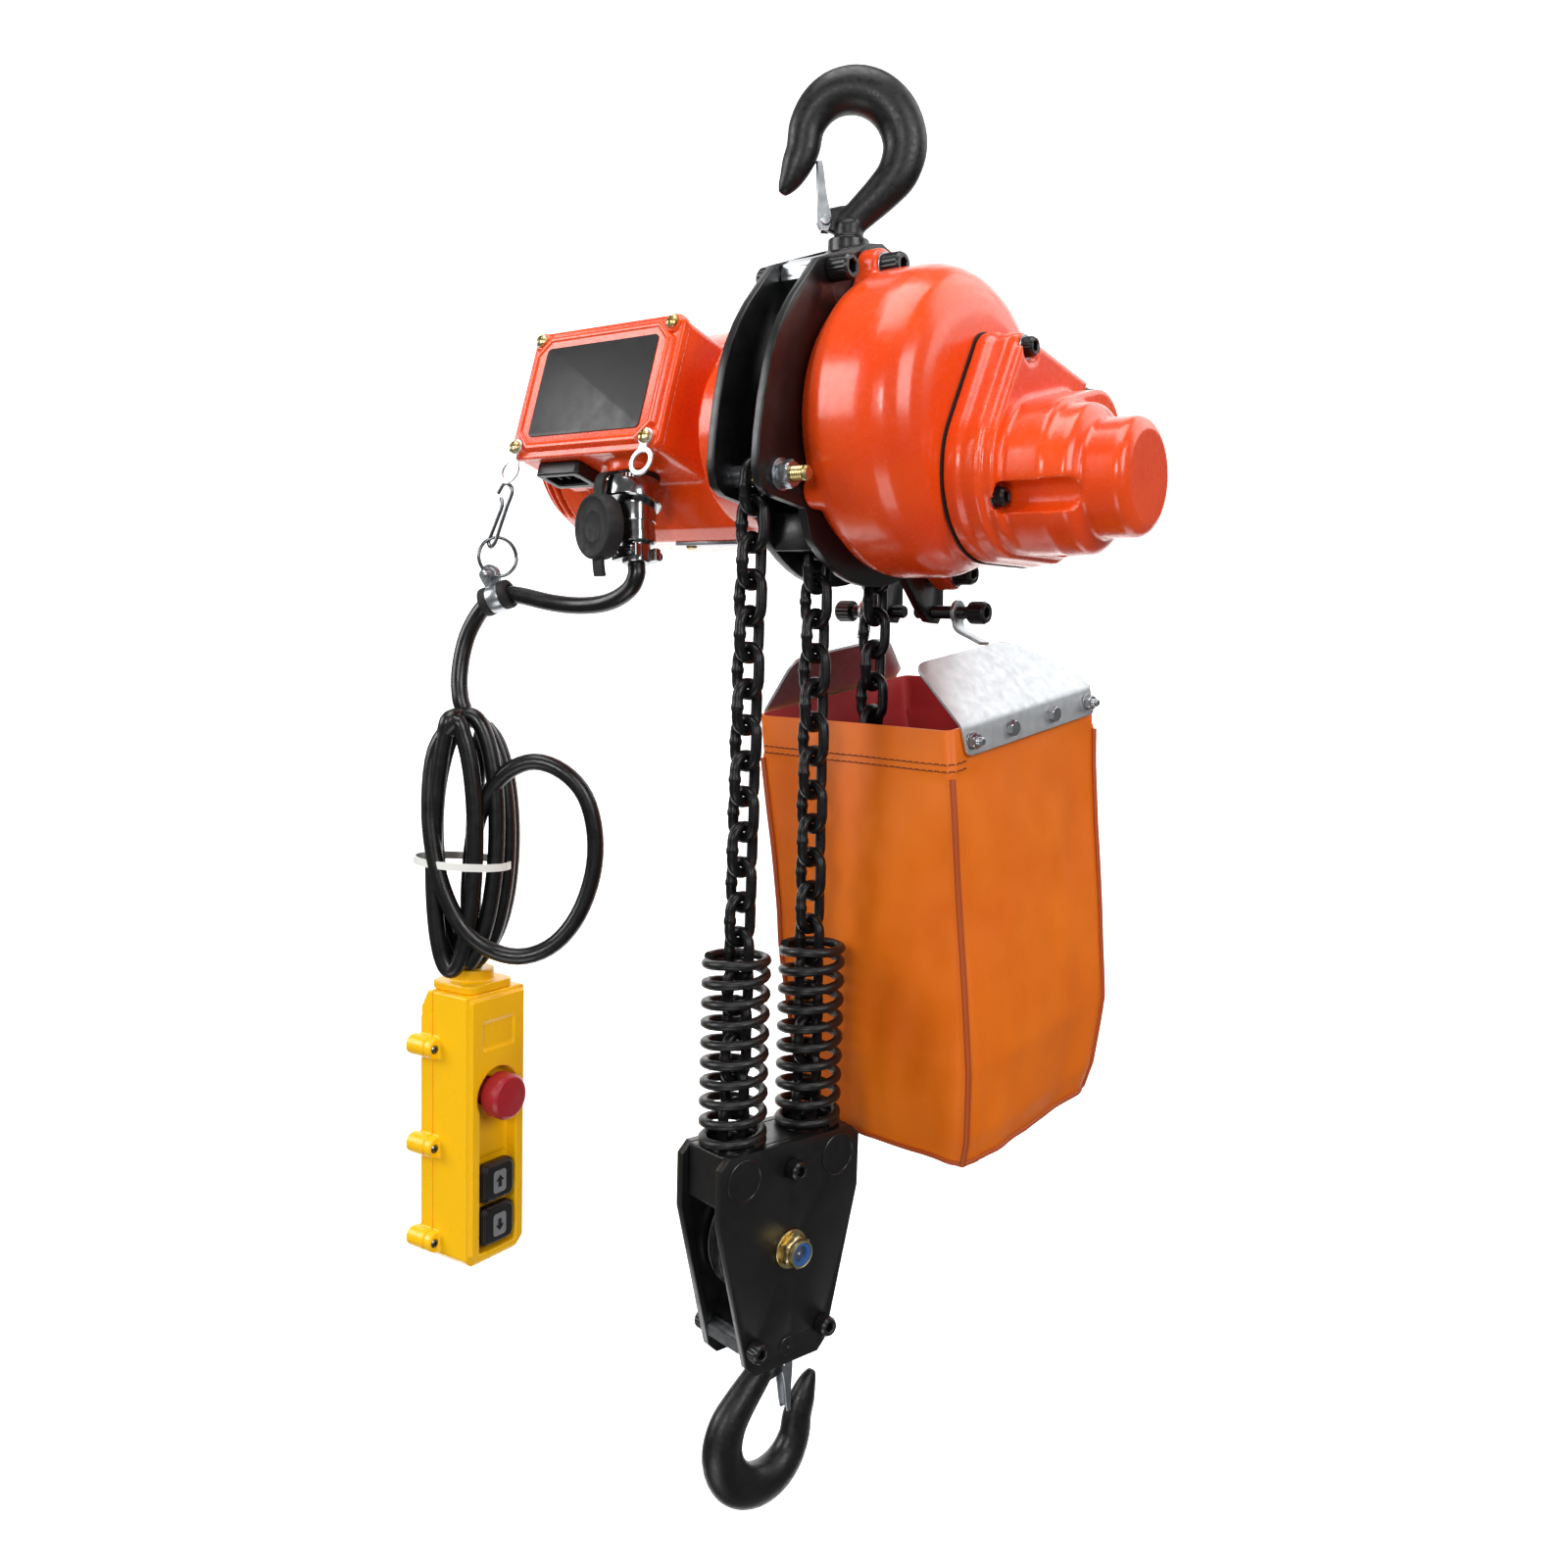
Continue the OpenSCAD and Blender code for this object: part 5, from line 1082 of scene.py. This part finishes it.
# %% [markdown]
# ## Control box
# The lid is a shallow die casting with a raised frame round its bare nameplate. Four cross recess screws hold it,
# and the lower two also hold ring tabs. A snap hook and a split ring hang the cable from the left tab.

# %% Lid
BOX_AT = shift(-111.5, -85, -149) @ spin(-17, "X")
SCREW_X, SCREW_Z = 50.5, 33
LID_SCREWS = [(sx * SCREW_X, sz * SCREW_Z) for sx in (-1, 1) for sz in (-1, 1)]


def on_lid(x, z, out=0):
    """Place on the lid with its Z axis pointing out of it, in mm."""
    return BOX_AT @ shift(x, -out, z) @ UPRIGHT


def octagon(w, h, cut, z):
    """A rectangle with its corners cut off, as a ring."""
    ends = (w / 2, h / 2 - cut), (w / 2 - cut, h / 2)
    return [Vector((sx * x, sy * y, z)) for sx, sy, way in ((1, 1, 1), (-1, 1, -1), (-1, -1, 1), (1, -1, -1))
            for x, y in ends[::way]]


def cross_recess(length, width):
    """Radius of a cross at an angle."""
    def reach(a):
        off = min(a % (pi / 2), pi / 2 - a % (pi / 2))
        return min(length / cos(off), width / max(sin(off), 0.001))
    return reach


def pan_screw(r, h, shank=3):
    """A pan head screw with a cross recess, its head standing on Z = 0."""
    cross = cross_recess(r * 0.6, r * 0.17)
    return lathe([(r * 0.45, -shank), (r * 0.45, 0), (r - 0.2, 0), (r, h * 0.2), (r * 0.93, h * 0.6),
                  (r * 0.7, h * 0.9), (cross, h), (cross, h * 0.4), (0.05, h * 0.35)])


raised = loft([octagon(107, 71, 10.5, -2.2), octagon(104, 68, 9.8, 1), octagon(100, 64, 8.5, 1),
               octagon(98, 62, 8, 0.1)])
piece("control_lid_frame", moved(raised, on_lid(0, 0)), ENAMEL, body="hoist", bevel=0.5, angle=20)
boss = lathe([(5.4, -2.4), (5.2, -0.6), (4.6, 0), (2.2, 0), (2.2, -2.4)])
piece("control_lid_bosses", merged(*[moved(boss, on_lid(x, z)) for x, z in LID_SCREWS]), ENAMEL, body="hoist")
bare_plate = moved(prism(rounded_box(86, 54, 3), 0, 0.7), on_lid(0, 0))
piece("bare_nameplate", bare_plate, PLATE_FACE, ["nameplate"], bevel=0.2)

# %% Lid screws and tabs
parts("lid_cross_screws", GOLD, "lid_screws",
      *[(pan_screw(3.9, 2.6), on_lid(x, z, 1.2 if z < 0 else 0)) for x, z in LID_SCREWS])
# A tab is a small eye under the screw, a neck and a large eye below it.
TAB = [(washer(2.1, 4.9, 1.2), 0, 0), (prism([(-2.6, -9), (2.6, -9), (2.6, -3), (-2.6, -3)], 0.05, 1.15), 0, 0),
       (washer(5.4, 8, 1.2), 1, -14)]
placed = [(shape, on_lid(sx * (SCREW_X + dx), dz - SCREW_Z)) for sx in (-1, 1) for shape, dx, dz in TAB]
parts("lid_ring_tabs", SHEET_ZINC, None, *placed)

# %% Snap hook and ring
SNAP = shift(-171, -100, -219) @ spin(25, "Z") @ spin(14, "Y")
snap_path = [(-3.6, 12), (-1.5, 18), (2.2, 18.6), (4.6, 15), (3.6, 6), (2.4, -6), (1.6, -15), (-0.4, -18.6),
             (-2.4, -16), (-1.6, -10), (-0.4, -2), (0.6, 6), (-1.2, 10.5)]
snap = tube(smooth_path([(x, 0, z) for x, z in snap_path], 4), 1.15, 10)
# The ring is two turns of wire, side by side.
ring = tube([(k / 40 - 0.9, *on_circle(11.2, k * 10)) for k in range(73)], 0.95, 10)
hanger = merged(moved(snap, SNAP), moved(ring, shift(-174, -98, -242.5) @ spin(-25, "Z")))
piece("snap_hook_and_ring", hanger, WIRE_ZINC, ["cable_hanger"], angle=50)

# %% [markdown]
# The plug screws onto a socket under the box. Its coupling ring is knurled, and a clamp with two screws grips the
# cable. A rubber cap for the socket hangs in front of the plug on its strap.

# %% Plug and socket
PLUG = shift(-92, -70, -194) @ spin(-10, "Y") @ spin(-8, "X")


def knurled(a):
    """Radius of the coupling ring's grip at an angle."""
    return 15 + 0.3 * cos(48 * a)


socket = lathe([(10, -8.2), (12.6, -8), (13, -7.6), (13, -6.2), (10, -6), (10, 6)], 64)
parts("connector_socket_nickel", NICKEL, "connector_socket", (socket, PLUG))
parts("connector_gasket", RUBBER, None, (washer(10, 14, 2.2), PLUG @ shift(0, 0, -6.2)))
tilted = PLUG @ spin(-9, "X")
coupling = lathe([(12, -21.8), (15.8, -21.6), (16.8, -20.8), (17, -20), (17, -13), (16.6, -11.4), (knurled, -11),
                  (knurled, -8.4), (12, -8)], 96)
barrel = lathe([(9.4, -43), (10.6, -42.8), (11.1, -42), (11.1, -37), (10.7, -36.6), (10.7, -31), (11.1, -30.6),
                (11.5, -27), (11.5, -10)], 96)
parts("connector_plug_nickel", NICKEL, "connector_plug", (coupling, tilted), (barrel, PLUG))
CLAMP_Z = -48.5
saddle = prism(rounded_box(19, 5.4, 1.6), -3.4, 3.4)
clamp_screw = pan_screw(2.8, 2)
placed = [(lathe([(6, -54), (7.6, -53.6), (8, -53), (8, -42.4)]), PLUG)]
for s in (-1, 1):
    placed += [(saddle, PLUG @ shift(0, s * 8, CLAMP_Z)), (clamp_screw, PLUG @ shift(s * 6, -10.7, CLAMP_Z) @ UPRIGHT),
               (nut(5.5, 2, 1.4), PLUG @ shift(s * 6, 12.5, CLAMP_Z) @ UPRIGHT)]
parts("cable_gland_clamp", NICKEL, "cable_gland", *placed)

# %% Dust cap
CAP = shift(-92, -92, -227) @ spin(-12, "Z") @ UPRIGHT
cap_cup = lathe([(14, 0), (17.2, 0), (17.9, 0.8), (17.9, 8.6), (17.2, 9.6), (16.4, 10), (15.4, 9.7), (14.6, 9.2),
                 (9, 9), (8.4, 9.3), (7.8, 9), (0.1, 8.9)], 64)
CAP_SIDE = (*on_circle(1, -12), 0)
upper = [(-94.5, -95.5, -211), (-96, -94, -204), (-96.5, -90.5, -198.5), (-95, -84, -196.8), (-93.5, -80, -197.5)]
lower = [(-92, -98, -242), (-92, -98, -246), (-91.5, -98, -250), (-91, -97.5, -254)]
cap_shape = merged(moved(cap_cup, CAP), strap(upper, 8, 2.4, CAP_SIDE), strap(lower, 9, 2.6, CAP_SIDE))
piece("dust_cap_rubber", cap_shape, RUBBER, ["dust_cap"], bevel=0.5, angle=40)

# %% Cable clip
CLIP = shift(-174, -98, -266.2) @ spin(20, "Z") @ spin(-20, "Y")
ALONG = spin(90, "Y")
sleeve = lathe(even_ended([(7.2, 4), (8.4, 4.1), (8.6, 7.6), (8.3, 8.8), (7.4, 9.4), (5.1, 9.4)]), closed=True)
band = lathe(even_ended([(8.3, 3.4), (8.1, 3.9), (7.2, 3.9)]), closed=True)
tab = prism([(-4.4, 7), (4.4, 7)] + [(x, 14 + y) for x, y in [on_circle(6.2, a) for a in range(-10, 191, 10)]], 0, 1.2)
bolt_at = CLIP @ shift(0, -1.4, 14) @ UPRIGHT
parts("cable_clip_band", ZINC, "cable_clamp", (band, CLIP @ ALONG),
      *[(tab, CLIP @ shift(0, y, 0) @ UPRIGHT) for y in (1.3, -0.1)],
      (washer(2.6, 4.6, 0.8), bolt_at), (nut(7.6, 3, 2.5), bolt_at @ shift(0, 0, 0.8)),
      (thread_rod(2.5, -3, 8.5), bolt_at), (lathe([(0.1, -4.6), (4, -4.4), (4, -2.9), (0.1, -2.8)]), bolt_at))
parts("cable_clip_sleeve", RUBBER, None, (sleeve, CLIP @ ALONG))

# %% [markdown]
# ## Pendant faces
# The two direction buttons carry satin foil inserts with an arrow, the only marks on the hoist.

# %% Arrows and pendant screws
FACE_X = 23.8
ARROW = [(-1.3, -3.4), (1.3, -3.4), (1.3, 0.4), (3.2, 0.4), (0, 4), (-3.2, 0.4), (-1.3, 0.4)]
for name, z, way in (("up", UP_Z, 1), ("down", DOWN_Z, -1)):
    insert, arrow = prism(rounded_box(10.5, 14, 2.2), -0.3, 0.25), prism([(x, y * way) for x, y in ARROW], 0.2, 0.45)
    for shape, kind, material in ((insert, "_insert", FOIL), (arrow, "_arrow", BLACK)):
        parts(name + kind, material, None, (shape, on_face(FACE_X, 0, z)), body=name + "_button")
ear_screws = [(pan_screw(2.9, 1.8), on_face(-4.1, sy * 27.4, z)) for sy in (-1, 1) for z in (-34, -95, -154)]
parts("pendant_ear_screws", WIRE_ZINC, "pendant_screws", *ear_screws)
print("pendant dressed")

# %% [markdown]
# ## Bag brackets
# Each side of the bag is bolted to a bracket folded from two millimetre zinc plated sheet. Its flange lies on the
# cloth, its plate leans in over the mouth, and a strap with an eye hangs it on its own bolt under the frame.

# %% Brackets
RIM = BAG_AT @ shift(0, 0, -320) @ spin(10, "X")
LEAN, RISE, SHEET, EDGE = 30, 33, 1.8, 75.6
SLOPE = sqrt(LEAN ** 2 + RISE ** 2)
# Depth of the flange, half the run of the fold, half the bracket's length, and how much its back edge tapers.
FLANGE, FOLD, HALF_LONG, TAPER = 16, 2, 62, 38


def corner(r, past):
    """How far a round corner draws an edge in, this far past the corner's start."""
    return r - sqrt(max(r * r - past * past, 0)) if past > 0 else 0


def bracket_row(s, flare):
    """One row of a bracket: where it is across the fold, and how far it reaches to the front and the back."""
    def flange_at(d):
        return Vector((EDGE - flare * d / FLANGE, 0, d))

    def plate_at(d):
        return Vector((EDGE - d * LEAN / SLOPE, 0, d * RISE / SLOPE))

    t = (s + FOLD) / (2 * FOLD)
    if t < 0:
        middle = flange_at(s)
    elif t > 1:
        middle = plate_at(s)
    else:
        middle = flange_at(-FOLD) * (1 - t) ** 2 + Vector((EDGE, 0, 0)) * 2 * t * (1 - t) + plate_at(FOLD) * t ** 2
    inset = corner(4, 4 - FLANGE - s) + corner(8, s + 8 - SLOPE)
    return middle, inset - HALF_LONG, HALF_LONG - inset - max(s - 8, 0) * TAPER / (SLOPE - 8)


def bracket(flare):
    """A bracket for the right side, in the rim's own frame."""
    heights = [-16, -15.5, -14.5, -13, -12, -6, -2, -1, 0, 1, 2, 8, 16, 26] + [SLOPE - d for d in (8, 6, 4, 2, 0.8, 0)]
    rows = [bracket_row(s, flare) for s in heights]
    rings = []
    for (point, front, back), run in zip(rows, runs_of([row[0] for row in rows])):
        out = Vector((run.z, 0, -run.x)) * SHEET
        reach = [Vector((0, front + (back - front) * k / 10, 0)) for k in range(11)]
        rings.append([point + y for y in reach] + [point + out + y for y in reach[::-1]])
    return loft(rings)


MIRROR = Matrix.Scale(-1, 4, (1, 0, 0))
right_strap = [(33, 78, -262), (33, 78, -270), (35, 78, -277), (44, 78, -281.5), (52, 78, -285)]
left_strap = [(-33, 78, -262), (-33, 78, -270), (-33.5, 78, -276), (-34.5, 78, -284)]
eye = washer(4.2, 7.5, 2.4)
straps = [strap(points, 11, 2, (0, 1, 0)) for points in (right_strap, left_strap)]
brackets = merged(moved(bracket(2.6), RIM), moved(bracket(-2.2), RIM @ MIRROR), *straps,
                  moved(eye, at(31.8, *BAG_BOLT)), moved(eye, at(-34.2, *BAG_BOLT)))
piece("bag_bracket_sheets", brackets, SHEET_ZINC, ["bag_brackets"], bevel=0.4, angle=40)
cap_nut = lathe([(0.1, 0), (3.9, 0), (hexagon(8), 0.5), (hexagon(8), 3.2), (3.8, 3.6), (0.1, 3.6)])
bolts = []
for way, flare in ((1, 2.6), (-1, -2.2)):
    for y in (-56, -20, 20, 56):
        where = RIM @ at(way * (EDGE + SHEET + flare / 2), y, -8, way)
        if abs(y) > 40:
            bolts += [(washer(3, 5, 0.8), where), (nut(8, 3.6, 2.4), where @ shift(0, 0, 0.8)),
                      (thread_rod(2.5, 0, 8), where)]
        else:
            bolts.append((cap_nut, where))
parts("bag_bracket_bolts", ZINC, None, *bolts, body="bag")
print("brackets placed")

# %% Brush cover
parts("brush_cover_screw", GOLD, None, (pan_screw(3.4, 2, 1.5), shift(-85, -28.5, -233) @ spin(180, "X")))
broken_edges("brush_cover", "motor_window", 0.4)
